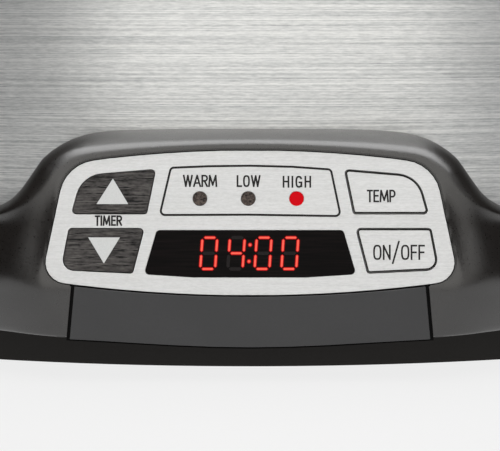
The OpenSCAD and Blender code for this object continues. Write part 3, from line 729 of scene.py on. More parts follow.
def rim(name: str, outline: Sequence[Point], width: float, low: float, high: float) -> Piece:
    """A flat frame just inside an outline.

    Args:
        name: The piece's name.
        outline: Its outer edge, in millimetres.
        width: How wide the frame is.
        low: Height of its underside.
        high: Height of its top.

    Returns:
        The frame.
    """
    piece = sheet_of(name, outline)
    with editing(piece, everything=True):
        bpy.ops.mesh.inset(thickness=width * MM, use_even_offset=True)
        bpy.ops.mesh.delete(type="FACE")
    return thicken(piece, low, high)


def merged(name: str, pieces: Sequence[Piece]) -> Piece:
    """Join pieces that are one print or one moulding.

    Args:
        name: The name of the whole.
        pieces: What it is made of, used up but for the first.

    Returns:
        The whole.
    """
    pick(*pieces)
    if len(pieces) > 1:
        bpy.ops.object.join()
    pieces[0].name = pieces[0].data.name = name
    return pieces[0]


# ---------------------------------------------------------------- where things are


@dataclass(frozen=True)
class Oval:
    """The cooker's oval plan: two side arcs and two end arcs that meet in tangency."""

    end_r: float = 115.69
    end_c: float = 44.31
    side_r: float = 273.94
    side_c: float = 151.92
    centre_y: float = 5.25
    turn: float = math.atan(7 / 24)

    @property
    def half_width(self) -> float:
        """From the oval's centre to its front."""
        return self.side_r - self.side_c

    def at(self, angle: np.ndarray) -> tuple[np.ndarray, np.ndarray]:
        """Points of the oval by the direction that it faces there.

        Args:
            angle: Angle of the outward normal from -Y towards +X, in radians.

        Returns:
            Across and back positions, in millimetres from the oval's centre.
        """
        wrapped = (angle + math.pi) % (2 * math.pi) - math.pi
        sin, cos = np.sin(wrapped), np.cos(wrapped)
        front, rear = np.abs(wrapped) <= self.turn, np.abs(wrapped) >= math.pi - self.turn
        x = np.where(front | rear, self.side_r * sin, np.sign(sin) * self.end_c + self.end_r * sin)
        y = np.where(front, self.side_c, np.where(rear, -self.side_c, 0.0)) - cos * np.where(
            front | rear, self.side_r, self.end_r)
        return x, y

    def angle_at(self, x: float) -> float:
        """Find a direction on the front half of the oval.

        Args:
            x: How far across it meets the oval.

        Returns:
            Its angle from -Y towards +X.
        """
        if abs(x) <= self.side_r * math.sin(self.turn):
            return math.asin(x / self.side_r)
        return math.copysign(math.asin((abs(x) - self.end_c) / self.end_r), x)


@dataclass(frozen=True)
class PanelFace:
    """The tilted face of the control panel: across, up the face and out of it."""

    reach: float = 22.0
    low_z: float = 25.2
    tilt: float = math.radians(12)
    low_arc_r: float = 415.0
    top_arc_r: float = 350.0
    height: float = 41.3
    half_foot: float = 60.0
    side_lean: float = 0.2034
    # How far across each corner lies on its arc, and its radius.
    low_corner: Point = (59, 6)
    top_corner: Point = (52.5, 11)
    # How far the moulding stands proud of the panel in front of it.
    proud: float = 0.4
    # Where points are set on the two arcs, and the facets of each corner.
    low_across: range = range(7, 50, 7)
    top_across: range = range(40, 3, -8)
    corner_steps: int = 10

    def low_arc(self, a: float) -> float:
        """Height up the face of its lower edge."""
        return self.low_arc_r - math.sqrt(self.low_arc_r**2 - a * a)

    def top_arc(self, a: float) -> float:
        """Height up the face of its upper edge."""
        return self.height - self.top_arc_r + math.sqrt(self.top_arc_r**2 - a * a)

    def side(self, b: float) -> float:
        """Half the panel's width at a height up the face."""
        return self.half_foot - self.side_lean * b

    def outline(self, grow: float = 0.0) -> list[Point]:
        """The panel's outline, grown evenly.

        Args:
            grow: How far it moves out, in millimetres.

        Returns:
            Points across and up the face.
        """
        right = [(a, self.low_arc(a), 0) for a in self.low_across]
        for arc, (across, radius) in ((self.low_arc, self.low_corner), (self.top_arc, self.top_corner)):
            right.append((self.side(arc(across)), arc(across), radius))
        right += [(a, self.top_arc(a), 0) for a in self.top_across]
        return fillet(right + [(-x, y, r) for x, y, r in reversed(right)], grow, self.corner_steps)

    def place(self, oval: Oval) -> Matrix:
        """The face's own axes, as a matrix in metres."""
        spot = Vector((0, oval.centre_y - oval.half_width - self.reach, self.low_z)) * MM
        return Matrix.Translation(spot) @ Matrix.Rotation(math.pi / 2 - self.tilt, 4, "X")

    def depth(self, z: np.ndarray) -> np.ndarray:
        """How far the face stands in front of the wrap at a height."""
        return np.minimum(self.reach, self.reach + self.proud / math.cos(self.tilt)
                          - (z - self.low_z) * math.tan(self.tilt))


OVAL = Oval()
FACE = PanelFace()


@dataclass
class SubAssembly:
    """Pieces that are built and dressed together."""

    pieces: list[Piece] = field(default_factory=list, init=False)

    def build(self) -> None:
        """Make every piece of the sub-assembly."""
        raise NotImplementedError

    def keep(self, piece: Piece, body: str, finish: Finish, *nodes: str) -> Piece:
        """Dress a finished piece, hang it on its body and report it.

        Args:
            piece: The piece, in its place.
            body: The CAD body that it moves with.
            finish: Its material.
            nodes: The CAD nodes that it stands for.

        Returns:
            The same piece.
        """
        piece.data.materials.clear()
        piece.data.materials.append(finish.material())
        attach(piece, body)
        if nodes:
            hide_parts(*nodes)
        self.pieces.append(piece)
        LOG.info("%s: %d faces, %s", piece.name, len(piece.data.polygons), finish.name)
        return piece

    def restyle(self, node: str, name: str, body: str, finish: Finish, bevel_mm: float = 0.0,
                segments: int = 2, degrees: float = 30.0) -> Piece:
        """Let a refined copy stand for a CAD node whose outline is right.

        Args:
            node: The CAD node.
            name: The copy's name.
            body: The body that it moves with.
            finish: Its material.
            bevel_mm: Rounding of its edges, or 0 to leave them.
            segments: Facets across the rounding.
            degrees: Angle above which an edge counts as one.

        Returns:
            The copy.
        """
        return self.keep(refined(node, name, bevel_mm, segments, degrees), body, finish, node)

    def dress(self, finish: Finish, *nodes: str) -> None:
        """Give CAD nodes that keep their own shape their finish.

        Args:
            finish: The material.
            nodes: The nodes that get it.
        """
        for name in nodes:
            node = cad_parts[name]
            node.data.materials.clear()
            node.data.materials.append(finish.material())
            self.pieces.append(node)
            LOG.info("%s: CAD shape, %s", name, finish.name)


# ---------------------------------------------------------------- base and control housing


@dataclass
class BaseHousing(SubAssembly):
    """The black base moulding: skirt, arched control housing, facet, bottom and feet.

    A z is a height above the table. A reach, fall or width is measured on the skin or off the wrap.
    """

    edge_z: float = 13.0
    edge_round: float = 0.9
    wall: float = 2.5
    # The skirt rises upright, then curves in and runs out on the wrap.
    skirt_reach: float = 8.0
    skirt_upright: float = 7.0
    skirt_top: float = 43.0
    skirt_fade: float = 0.6
    # How near two skins start to flow into each other.
    blend: float = 8.0
    # Over the panel one round fills the space; down the sides it dwindles to a lip.
    shoulder_power: float = 2.4
    shoulder_z: Point = (43.0, 61.0)
    lip_width: float = 1.7
    # Beside the panel the skin is a collar that ends in a ridge, then a flank that steepens.
    collar_width: float = 7.5
    collar_fall: float = 4.6
    flank_slope: float = 0.6
    flank_bend: float = 0.0275
    # Lower down the ridge dies out, and the skin sweeps evenly into the skirt.
    ridge_z: Point = (23.0, 46.0)
    sweep_fall: float = 19.0
    sweep_width: float = 28.0
    sweep_power: float = 1.5
    # Away from the panel the face's lean comes in little by little.
    lean_rise: float = 20.0
    lean_width: float = 9.0
    # The flat round the panel: how far past the panel its top goes, its low corners as
    # (across, up), and how far its sides go past the panel's at heights up the face.
    flat_margin: float = 1.5
    flat_top_share: float = 0.978
    flat_top_from: float = 33.0
    flat_hub: float = 40.0
    flat_low: tuple[Point, ...] = ((0, -30), (50.4, -30), (50.6, 13), (52.4, 19.5), (56.2, 24.6))
    flat_sides: tuple[Point, ...] = ((5.5, -0.4), (12, -0.4), (20, -0.4), (26, -0.4), (29, -0.2), (32, 0.6))
    # Where the housing meets the wrap, as (across, up), from the crown outwards and down.
    crown: tuple[Point, ...] = (
        (0, 70.9), (14.6, 70.8), (29.3, 70.6), (37, 70.3), (42, 69.9), (45.5, 69.45), (48.5, 68.8),
        (51.2, 67.9), (53.8, 66.6), (56.2, 65), (58.5, 63), (60.5, 60.1), (62.6, 56.9), (64.9, 53.7),
        (67.5, 51), (70.8, 48.9), (74, 47.4), (78, 46), (83, 44.9), (89, 44.1), (96, 43.5), (104, 43.1),
        (112, 43), (112, -30))
    # The housing lies in this part of the oval; elsewhere and where it fades it is behind the wrap.
    front_cos: float = 0.35
    front_half: float = 108.0
    absent: float = -5.0
    faded: float = -2.0
    faint: float = 0.05
    blend_from: float = 0.3
    # The skin's edge is where this little of it is left, looked for from the top down.
    film: float = 0.25
    search: tuple[float, float, float] = (74.0, 36.0, -0.03)
    halvings: int = 12
    # Seen from points probe_reach walls away, the back stays probe_hold walls behind the skin.
    probes: int = 8
    probe_reach: float = 0.8
    probe_hold: float = 0.6
    back_least: float = 0.06
    # Columns are close together on this half-width, and rows crowd towards the top edge.
    dense_half: float = 101.5
    dense_pitch: float = 0.7
    sparse_columns: int = 150
    skin_rows: int = 58
    core_rows: int = 40
    crowding: float = 1.8
    # The trimming core lies just under the skin, and ends well above it.
    core_depth: float = 0.35
    core_least: float = 0.02
    core_foot: float = -0.3
    core_step: float = 2.0
    core_top: float = 90.0
    # The front cover's outline, and the dip of the moulding's lower edge under it.
    cover_half: float = 51.7
    cover_drop: float = 0.5
    cover_slant: Point = (0.6, 0.9)
    cover_points: int = 11
    edge_dip: float = 1.4
    edge_dip_half: float = 70.0
    # Recesses for panel and facet, as (gap, depth), and what the facet is narrower than its cover.
    panel_recess: Point = (0.62, 4.2)
    facet_recess: Point = (0.45, 2.4)
    facet_narrow: float = -0.6
    facet_trim: Point = (2.0, -3.1)
    trim_depth: float = 30.0
    clear: float = 6.0
    # Painted shadow in the gaps: a near-black fill, as (grow, width, low, high) round the panel and (grow,
    # low, high) round the facet, and the hole in it, as (grow, spread, low, high).
    panel_shadow_fill: tuple[float, float, float, float] = (0.6, 0.57, -0.8, -0.3)
    facet_shadow_fill: tuple[float, float, float] = (0.43, -2.2, -0.4)
    facet_shadow_hole: tuple[float, float, float, float] = (0.02, -1.1, -4, 1)
    shade_degrees: float = 32.0
    facet_edge: float = 0.3
    tray_edge: float = 0.4
    foot_edge: float = 0.3
    # The gland's bore through the back.
    bore_facets: int = 48
    bore_r: float = 6.3
    bore_length: float = 20.0
    bore_at: Corner = (0.0, 130.0, 26.0)

    def flat(self) -> np.ndarray:
        """The right half of the flat round the panel, set out on the wrap.

        Returns:
            Its corners as (across, up), from the middle of its foot round to its top.
        """
        lean = math.cos(FACE.tilt)
        sides = [(FACE.side(b) + grow, FACE.low_z + b * lean) for b, grow in self.flat_sides]
        over = [(a, FACE.low_z + b * lean) for a, b in FACE.outline(self.flat_margin)
                if a >= 0 and b > self.flat_top_from]
        over.sort(key=lambda p: math.atan2(p[1] - self.flat_hub, p[0]))
        top = (0, FACE.low_z + (FACE.height + self.flat_margin) * self.flat_top_share)
        corners = np.array([*self.flat_low, *sides, *over, top])
        # It moves outwards on its way from the wrap to the face.
        corners[:, 0] *= OVAL.side_r / (OVAL.side_r + FACE.depth(corners[:, 1]))
        return corners

    def profile(self, x: np.ndarray, z: np.ndarray, full: np.ndarray) -> np.ndarray:
        """How far the housing's skin stands off the wrap between its crown and the panel.

        Args:
            x: Positions across, on the wrap.
            z: Heights.
            full: How far the panel's plane stands off the wrap there.

        Returns:
            The skin's distance from the wrap, in millimetres.
        """
        across = np.abs(x)
        flat = self.flat()
        inner = edge_distance(flat[1:], across, z)
        inner[inside(flat, across, z)] = 0.0
        crown = np.array(self.crown)
        outer = edge_distance(crown, across, z)
        outer[~inside(np.vstack([[flat[0]], crown[::-1]]), across, z)] = 0.0
        ease = between(z, *self.shoulder_z)
        width = self.lip_width * (1 - ease) + (outer + inner) * ease
        share = np.clip(outer / np.maximum(width, TINY), 0, 1)
        round_off = (1 - (1 - share) ** self.shoulder_power) ** (1 / self.shoulder_power)
        past = np.clip(inner - self.collar_width, 0, None)
        collar = self.collar_fall * np.minimum(inner / self.collar_width, 1)
        fall = collar + past * (self.flank_slope + self.flank_bend * past)
        sweep = self.sweep_fall * (inner / self.sweep_width) ** self.sweep_power
        high = between(z, *self.ridge_z)
        rise = np.clip(z - FACE.low_z, 0, self.lean_rise)
        lean = (math.tan(FACE.tilt) * (rise - rise**2 / (2 * self.lean_rise))
                * between(inner, 0, self.lean_width))
        lost = (fall * high + sweep * (1 - high) - lean) * (1 - ease)
        return np.clip((full - lost) * round_off, 0, full)

    def reach(self, angle: np.ndarray, z: np.ndarray) -> np.ndarray:
        """How far the skin stands off the wrap.

        Args:
            angle: Directions round the oval.
            z: Heights.

        Returns:
            Offsets along the oval's normal, in millimetres.
        """
        x, y = OVAL.at(angle)
        low = self.edge_z + self.skirt_upright
        rise = np.clip((z - low) / (self.skirt_top - low), 0, 1)
        skirt = (self.skirt_reach * np.sqrt(1 - rise**2)
                 - np.clip(z - self.skirt_top, 0, None) * self.skirt_fade)
        cos = np.cos((angle + math.pi) % (2 * math.pi) - math.pi)
        near = (cos > self.front_cos) & (np.abs(x) < self.front_half)
        full = (y + OVAL.half_width + FACE.depth(z)) / np.where(near, cos, 1.0)
        bulge = np.where(near, self.profile(x, z, full), self.absent)
        bulge = np.where(bulge < self.faint, self.faded, bulge)
        gap = np.clip(self.blend - np.abs(skirt - bulge), 0, None) / self.blend
        outer = np.maximum(skirt, bulge)
        return outer + gap * gap * self.blend / 4 * (outer > self.blend_from)

    def top_of(self, angles: np.ndarray) -> np.ndarray:
        """Find the height at which the skin runs out against the wrap.

        Args:
            angles: Directions round the oval.

        Returns:
            The height in each direction.
        """
        heights = np.arange(*self.search)
        grid = self.reach(np.repeat(angles[:, None], len(heights), 1),
                          np.repeat(heights[None], len(angles), 0))
        low = heights[np.argmax(grid > self.film, axis=1)]
        high = low - self.search[2]
        for _ in range(self.halvings):
            middle = (low + high) / 2
            on_skin = self.reach(angles, middle) > self.film
            low, high = np.where(on_skin, middle, low), np.where(on_skin, high, middle)
        return low

    def columns(self) -> np.ndarray:
        """Set out the skin's columns: close together at the housing, further apart round the back.

        Returns:
            The direction of each column, from the left of the housing once round.
        """
        near = [OVAL.angle_at(x)
                for x in np.arange(-self.dense_half, self.dense_half + 0.1, self.dense_pitch)]
        far = np.linspace(near[-1], 2 * math.pi + near[0], self.sparse_columns)[1:]
        return np.array(near + list(far))

    def rises(self, count: int) -> np.ndarray:
        """Shares of the skin's height for a number of rows."""
        return 1 - (1 - np.linspace(0, 1, count)) ** self.crowding

    def lattice(self, name: str, angles: np.ndarray,
                rows: Sequence[tuple[np.ndarray | None, np.ndarray | float]]) -> Piece:
        """Lay a grid primitive's vertices on rows of points round the oval.

        The blends between face, shoulder and skirt follow one rule, which no edit operator
        gives, so the vertices are moved by that rule.

        Args:
            name: The piece's name.
            angles: Direction of each column.
            rows: Each row's distance off the wrap, or None at the oval's middle, and its height.

        Returns:
            The closed piece.
        """
        pick()
        bpy.ops.mesh.primitive_grid_add(x_subdivisions=len(rows) - 1, y_subdivisions=len(angles) - 1)
        piece = bpy.context.object
        piece.name = piece.data.name = name
        x, y = OVAL.at(angles)
        zero = np.zeros_like(angles)
        stack = [[zero, zero, zero + z] if d is None else
                 [x + d * np.sin(angles), y - d * np.cos(angles) + OVAL.centre_y, zero + z] for d, z in rows]
        move_points(piece, np.array(stack).transpose(2, 0, 1).reshape(-1, 3))
        return face_out(piece)

    def skin(self) -> Piece:
        """Make the moulding's outer wall.

        Returns:
            A closed ring of even thickness.
        """
        angles = self.columns()
        tops = self.top_of(angles)
        start = self.edge_z + self.edge_round
        edge = self.reach(angles, np.full_like(angles, self.edge_z))
        rows = [(edge - self.edge_round * (1 - math.sin(q)),
                 np.full_like(angles, self.edge_z + self.edge_round * (1 - math.cos(q))))
                for q in np.linspace(0, math.pi / 2, 4)[:-1]]
        up = self.rises(self.skin_rows)
        for share in up[:-1]:
            z = start + (tops - start) * share
            rows.append((np.maximum(self.reach(angles, z), self.film), z))
        # The upper edge lies on the wrap all along.
        rows.append((np.full_like(angles, self.film), tops))
        for share in up[::-2]:
            z = self.edge_z + (tops - self.edge_z) * share
            rows.append((self.inner(angles, z), z))
        return self.lattice("control_housing", angles, [*rows, rows[0]])

    def inner(self, angles: np.ndarray, z: np.ndarray) -> np.ndarray:
        """The back of the skin: its front, moved in by the wall whichever way it faces.

        Args:
            angles: Directions round the oval.
            z: Heights.

        Returns:
            Offsets of the back from the wrap.
        """
        least = self.reach(angles, z) - self.wall
        for step in range(self.probes):
            way = 2 * math.pi * step / self.probes
            shift = self.wall * self.probe_reach * math.cos(way) / OVAL.side_r
            beside = self.reach(angles + shift, z + self.wall * self.probe_reach * math.sin(way))
            least = np.minimum(least, beside - self.wall * self.probe_hold)
        return np.maximum(least, self.back_least)

    def core(self) -> Piece:
        """Make a solid just under the skin, to trim the inner structure with.

        Returns:
            A closed body that reaches from the table to well above the housing.
        """
        angles = self.columns()
        tops = self.top_of(angles)
        least = np.full_like(angles, self.core_least)
        rows = [(None, 0.0)]
        # The first row goes below the skin's edge, so that the core ends under it.
        for share in [self.core_foot, *self.rises(self.core_rows)]:
            z = self.edge_z + (tops - self.edge_z) * share
            skin = self.reach(angles, np.maximum(z, self.edge_z))
            rows.append((np.maximum(skin - self.core_depth, self.core_least), z))
        rows += [(least, tops + self.core_step), (least, self.core_top), (None, self.core_top)]
        return self.lattice("trimming_core", angles, rows)

    def facet_outline(self, grow: float, spread: float) -> list[Point]:
        """The front cover's outline as across and up, grown evenly and then spread sideways.

        Args:
            grow: How far it moves out all round.
            spread: How much further its two sides move.

        Returns:
            The outline's points.
        """
        foot = self.cover_half + spread + self.cover_slant[0]
        head = self.cover_half + spread - self.cover_slant[1]
        turn = math.pi / self.edge_dip_half
        lower = [(x, self.edge_z
                  - self.edge_dip * (1 + math.cos(turn * min(abs(x), self.edge_dip_half))), 0.0)
                 for x in np.linspace(-foot, foot, self.cover_points)]
        upper = [(x, FACE.low_z - self.cover_drop + math.cos(FACE.tilt) * FACE.low_arc(x), 0.0)
                 for x in np.linspace(head, -head, self.cover_points)]
        return fillet(lower + upper, grow)

    def fill_shadow_gaps(self, upright: Matrix) -> None:
        """Fill the gaps round panel and facet with painted shadow: a near-black sheet a little below the
        surface.

        Args:
            upright: The axes of the facet's front.
        """
        grow, *ring = self.panel_shadow_fill
        panel_shadow_ring = rim("panel_shadow_fill", FACE.outline(grow), *ring)
        grow, *heights = self.facet_shadow_fill
        grow_hole, spread, *through = self.facet_shadow_hole
        facet_shadow_ring = combine(
            slab("facet_shadow_fill", self.facet_outline(grow, self.facet_narrow), *heights),
            slab("facet_shadow_hole", self.facet_outline(grow_hole, spread), *through))
        for seal, place in ((panel_shadow_ring, FACE.place(OVAL)), (facet_shadow_ring, upright)):
            seal.data.transform(place)
        self.keep(merged("front_painted_shadows", [panel_shadow_ring, facet_shadow_ring]), "cooker", SHADOW_FILL)

    def build(self) -> None:
        """Make the housing, facet, bottom, feet and their screws."""
        shell = self.skin()
        gap, depth = self.panel_recess
        panel = slab("panel_recess", FACE.outline(gap), -depth, self.clear)
        panel.data.transform(FACE.place(OVAL))
        combine(shell, panel)
        gap, depth = self.facet_recess
        seat = slab("facet_recess", self.facet_outline(gap, self.facet_narrow), -depth, self.clear)
        trim = slab("facet_trim", self.facet_outline(*self.facet_trim), -self.trim_depth, self.clear)
        upright = (Matrix.Translation(Vector((0, OVAL.centre_y - OVAL.half_width - FACE.reach, 0)) * MM)
                   @ Matrix.Rotation(math.pi / 2, 4, "X"))
        for cutter in (seat, trim):
            cutter.data.transform(upright)
        combine(shell, seat)
        # Painted shadow in the gaps round panel and facet.
        self.fill_shadow_gaps(upright)
        pick()
        bpy.ops.mesh.primitive_cylinder_add(
            vertices=self.bore_facets, radius=self.bore_r * MM, depth=self.bore_length * MM,
            location=Vector(self.bore_at) * MM, rotation=(math.pi / 2, 0, 0))
        bore = bpy.context.object
        bpy.ops.object.transform_apply()
        combine(shell, bore)
        structure = combine(refined("base_shell", "inner_structure"), self.core(), "INTERSECT")
        combine(shell, structure, "UNION")
        self.keep(smooth(shell, self.shade_degrees), "cooker", HOUSING, "base_shell")
        facet = combine(refined("front_cover", "facet_cover"), trim, "INTERSECT")
        with editing(facet, everything=True):
            bpy.ops.mesh.dissolve_limited(angle_limit=FLAT_ANGLE)
        self.keep(soften(facet, self.facet_edge), "cooker", FACET, "front_cover")
        self.restyle("bottom_cover", "bottom_tray", "cooker", BASE_SKIN, self.tray_edge)
        self.restyle("rubber_feet", "foot_pads", "cooker", RUBBER, self.foot_edge)
        self.restyle("cover_screws", "tray_screws", "cooker", SCREW)


def between(value: np.ndarray, low: float, high: float) -> np.ndarray:
    """An even S-curve from 0 at one value to 1 at another, level at both ends.

    Args:
        value: Where it is wanted.
        low: The value at which it leaves 0.
        high: The value at which it reaches 1.

    Returns:
        Its height at each value.
    """
    share = np.clip((value - low) / (high - low), 0, 1)
    return share * share * (3 - 2 * share)


def edge_distance(line: np.ndarray, x: np.ndarray, z: np.ndarray) -> np.ndarray:
    """Distance from points to an open line of points.

    Args:
        line: The line's points, one row each.
        x: Positions across.
        z: Heights.

    Returns:
        The distance of each point.
    """
    best = np.full(np.shape(x), np.inf)
    for a, b in zip(line[:-1], line[1:]):
        run = b - a
        t = np.clip(((x - a[0]) * run[0] + (z - a[1]) * run[1]) / max(run @ run, TINY * TINY), 0, 1)
        best = np.minimum(best, np.hypot(x - a[0] - t * run[0], z - a[1] - t * run[1]))
    return best


def inside(loop: np.ndarray, x: np.ndarray, z: np.ndarray) -> np.ndarray:
    """Which points lie inside a closed outline.

    Args:
        loop: The outline's points, one row each.
        x: Positions across.
        z: Heights.

    Returns:
        True for each point inside.
    """
    hit = np.zeros(np.shape(x), bool)
    for a, b in zip(loop, np.roll(loop, -1, axis=0)):
        if a[1] == b[1]:
            continue
        cross = (a[1] > z) != (b[1] > z)
        hit ^= cross & (x < a[0] + (z - a[1]) * (b[0] - a[0]) / (b[1] - a[1]))
    return hit


# ---------------------------------------------------------------- control panel


class Segment(Enum):
    """The seven bars of a digit, as (across, up) of each end in shares of the digit."""

    TOP = ((0, 1), (1, 1))
    TOP_RIGHT = ((1, 1), (1, 0.5))
    LOW_RIGHT = ((1, 0.5), (1, 0))
    FOOT = ((1, 0), (0, 0))
    LOW_LEFT = ((0, 0), (0, 0.5))
    TOP_LEFT = ((0, 0.5), (0, 1))
    MIDDLE = ((0, 0.5), (1, 0.5))


def bowl(low: float, high: float) -> list[Point]:
    """The round of a P or R: out from the stem at the top and back to it.

    Args:
        low: Where it comes back to the stem, as a share of the letter's height.
        high: Where it leaves the stem.

    Returns:
        Its middle line, in shares of the letter.
    """
    mid, rise = (low + high) / 2, (high - low) / 2
    turn = [(0.55 + 0.45 * math.cos(a), mid + rise * math.sin(a))
            for a in np.linspace(math.pi / 2, -math.pi / 2, 9)]
    return [(0.0, high)] + turn + [(0.0, low)]


def round_letter(start: float, end: float, steps: int) -> list[Point]:
    """Part of a narrow O with upright sides.

    Args:
        start: Where it starts, in degrees anticlockwise from its right side.
        end: Where it ends.
        steps: How many points it has.

    Returns:
        Its middle line, in shares of the letter.
    """
    points: list[Point] = []
    for a in np.radians(np.linspace(start, end, steps)):
        c, s = math.cos(a), math.sin(a)
        points.append((0.5 + 0.5 * math.copysign(abs(c) ** 0.62, c),
                       0.5 + 0.5 * math.copysign(abs(s) ** 0.8, s)))
    return points


Stroke = tuple[Sequence[Point], bool]
# Width as a share of the height, then each stroke's middle line and whether it closes.
LETTERS: dict[str, tuple[float, tuple[Stroke, ...]]] = {
    "A": (0.60, ((((0, 0), (0.5, 1), (1, 0)), False), (((0.2, 0.3), (0.8, 0.3)), False))),
    "E": (0.36, ((((1, 1), (0, 1), (0, 0), (1, 0)), False), (((0, 0.52), (0.9, 0.52)), False))),
    "F": (0.36, ((((1, 1), (0, 1), (0, 0)), False), (((0, 0.5), (0.9, 0.5)), False))),
    "G": (0.50, ((round_letter(38, 345, 20), False), (((0.62, 0.44), (1, 0.44), (1, 0.05)), False))),
    "H": (0.48, ((((0, 0), (0, 1)), False), (((1, 0), (1, 1)), False), (((0, 0.52), (1, 0.52)), False))),
    "I": (0.0, ((((0, 0), (0, 1)), False),)),
    "L": (0.36, ((((0, 1), (0, 0), (1, 0)), False),)),
    "M": (0.70, ((((0, 0), (0.1, 1), (0.5, 0.12), (0.9, 1), (1, 0)), False),)),
    "N": (0.46, ((((0, 0), (0, 1), (1, 0), (1, 1)), False),)),
    "O": (0.50, ((round_letter(0, 345, 24), True),)),
    "P": (0.42, ((((0, 0), (0, 1)), False), (bowl(0.44, 1.0), False))),
    "R": (0.46, ((((0, 0), (0, 1)), False), (bowl(0.5, 1.0), False), (((0.45, 0.5), (1, 0)), False))),
    "T": (0.40, ((((0, 1), (1, 1)), False), (((0.5, 1), (0.5, 0)), False))),
    "W": (0.78, ((((0, 1), (0.25, 0), (0.5, 1), (0.75, 0), (1, 1)), False),)),
    "/": (0.46, ((((0, -0.3), (1, 1.3)), False),)),
}

DIGIT_BARS: dict[str, set[Segment]] = {
    "0": set(Segment) - {Segment.MIDDLE},
    "4": {Segment.TOP_LEFT, Segment.TOP_RIGHT, Segment.LOW_RIGHT, Segment.MIDDLE},
}


@dataclass
class ControlPanel(SubAssembly):
    """Silver overlay, keys, clock window, lamps and everything printed on them."""

    print_low: float = -0.02
    print_high: float = 0.03
    pen: float = 0.5
    # A turn whose cosine is under this is cut off square, this share of half the pen past it.
    turn_back: float = -0.3
    cut_share: float = 0.8
    digit_size: Point = (4.2, 8.9)
    digit_places: tuple[tuple[str, float], ...] = (("0", -14.1), ("4", -6.3), ("0", 1.3), ("0", 8.9))
    digit_low: float = 7.45
    slant: float = math.tan(math.radians(4))
    # A lit bar has a bright core; each stops short of its ends, and is tucked in to a point.
    bar: float = 0.95
    bar_short: float = 0.3
    bar_tuck: float = 0.42
    core_share: float = 0.55
    core_short: float = 0.55
    core_raise: float = 0.01
    unlit_high: float = 0.01
    dots_up: Point = (9.6, 14.3)
    dot_across: float = -0.3
    dot_r: float = 0.62
    dot_core_r: float = 0.36
    dot_facets: int = 16
    key_raise: float = 0.2
    key_gap: float = 0.27
    key_line: float = 0.42
    key_edge: float = 0.12
    lens_edge: float = 0.1
    lamp_line: float = 0.6
    lamp_grow: float = 0.1
    words: tuple[tuple[str, Box], ...] = (
        ("WARM", (-19.1, 30.8, -9.3, 34.3)), ("LOW", (-3.8, 30.8, 3.0, 34.2)),
        ("HIGH", (9.3, 30.6, 17.4, 34.0)), ("TIMER", (-44.1, 19.7, -36.3, 22.7)))
    temp_word: Box = (33.2, 26.4, 41.4, 30.0)
    power_word: Box = (34.9, 10.0, 49.6, 14.3)
    up_arrow: tuple[Corner, ...] = ((-43.6, 25.9, 0), (-34.6, 25.9, 0), (-39.0, 33.2, 0))
    down_arrow: tuple[Corner, ...] = ((-41.4, 9.0, 0), (-36.9, 16.4, 0), (-45.9, 16.4, 0))
    temp_key: tuple[Corner, ...] = ((29.3, 23, 1), (50.9, 23, 1.2), (47.9, 34.2, 8), (26.7, 36, 1.2))
    power_key: tuple[Corner, ...] = ((33.2, 6.1, 1), (53.7, 7.1, 3.2), (51.5, 19.1, 1.2), (29.9, 19.1, 1.2))
    lamp_box: tuple[Corner, ...] = (
        (-25.9, 22.6, 1.4), (0, 22.7, 0), (26, 22.3, 1.4), (23.2, 36.0, 1.3), (12, 36.8, 0), (0, 37.1, 0),
        (-12, 36.95, 0), (-22.7, 36.5, 1.3))

    def on_face(self, piece: Piece, lift: float = 0.0) -> Piece:
        """Carry a piece from the drawing board to the panel's face, lifted by some millimetres."""
        piece.data.transform(FACE.place(OVAL) @ Matrix.Translation((0, 0, lift * MM)))
        return piece

    def stroke(self, line: Sequence[Point], closed: bool) -> Piece:
        """One pen stroke of even width.

        Args:
            line: The stroke's middle line, in panel millimetres.
            closed: It ends where it starts.

        Returns:
            The stroke as a thin raised mesh on the drawing board.
        """
        half = self.pen / 2
        if closed:
            return rim("stroke", fillet([(x, y, 0.0) for x, y in line], half), self.pen,
                       self.print_low, self.print_high)
        points = [Vector(p) for p in line]
        sides: list[Point] = []
        for way in (1, -1):
            run = points[::way]
            for i, here in enumerate(run):
                come = (here - run[i - 1]).normalized() if i else (run[1] - here).normalized()
                go = (run[i + 1] - here).normalized() if i + 1 < len(run) else come
                right, next_right = Vector((come.y, -come.x)) * half, Vector((go.y, -go.x)) * half
                if i in (0, len(run) - 1):
                    sides.append(tuple(here + right + (-go if i == 0 else come) * half))
                elif come.dot(go) < self.turn_back and come.cross(go) > 0:
                    sides += [tuple(here + right + come * half * self.cut_share),
                              tuple(here + next_right - go * half * self.cut_share)]
                else:
                    sides.append(tuple(here + (right + next_right) / (1 + come.dot(go))))
        return slab("stroke", sides, self.print_low, self.print_high)

    def lettering(self, text: str, box: Box) -> Piece:
        """A printed word in a plain narrow hand that fills a box on the panel.

        Args:
            text: The word.
            box: Its left, lower, right and upper edges, in panel millimetres.

        Returns:
            The word as one thin raised mesh on the drawing board.
        """
        left, foot, right, top = box
        half = self.pen / 2
        tall = top - foot - self.pen
        widths = [LETTERS[c][0] * tall for c in text]
        space = (right - left - sum(widths) - self.pen * len(text)) / max(len(text) - 1, 1)
        word: Piece | None = None
        for letter, wide in zip(text, widths):
            for line, closed in LETTERS[letter][1]:
                points = [(left + half + x * wide, foot + half + y * tall) for x, y in line]
                mark = self.stroke(points, closed)
                word = mark if word is None else combine(word, mark, "UNION")
            left += wide + self.pen + space
        return word

    def printed(self) -> None:
        """Everything in black ink on the overlay itself."""
        marks = [self.lettering(text, box) for text, box in self.words]
        marks.append(rim("lamp_frame", fillet(self.lamp_box, self.lamp_grow), self.lamp_line, self.print_low,
                         self.print_high))
        self.keep(self.on_face(merged("overlay_print", marks)), "cooker", INK)

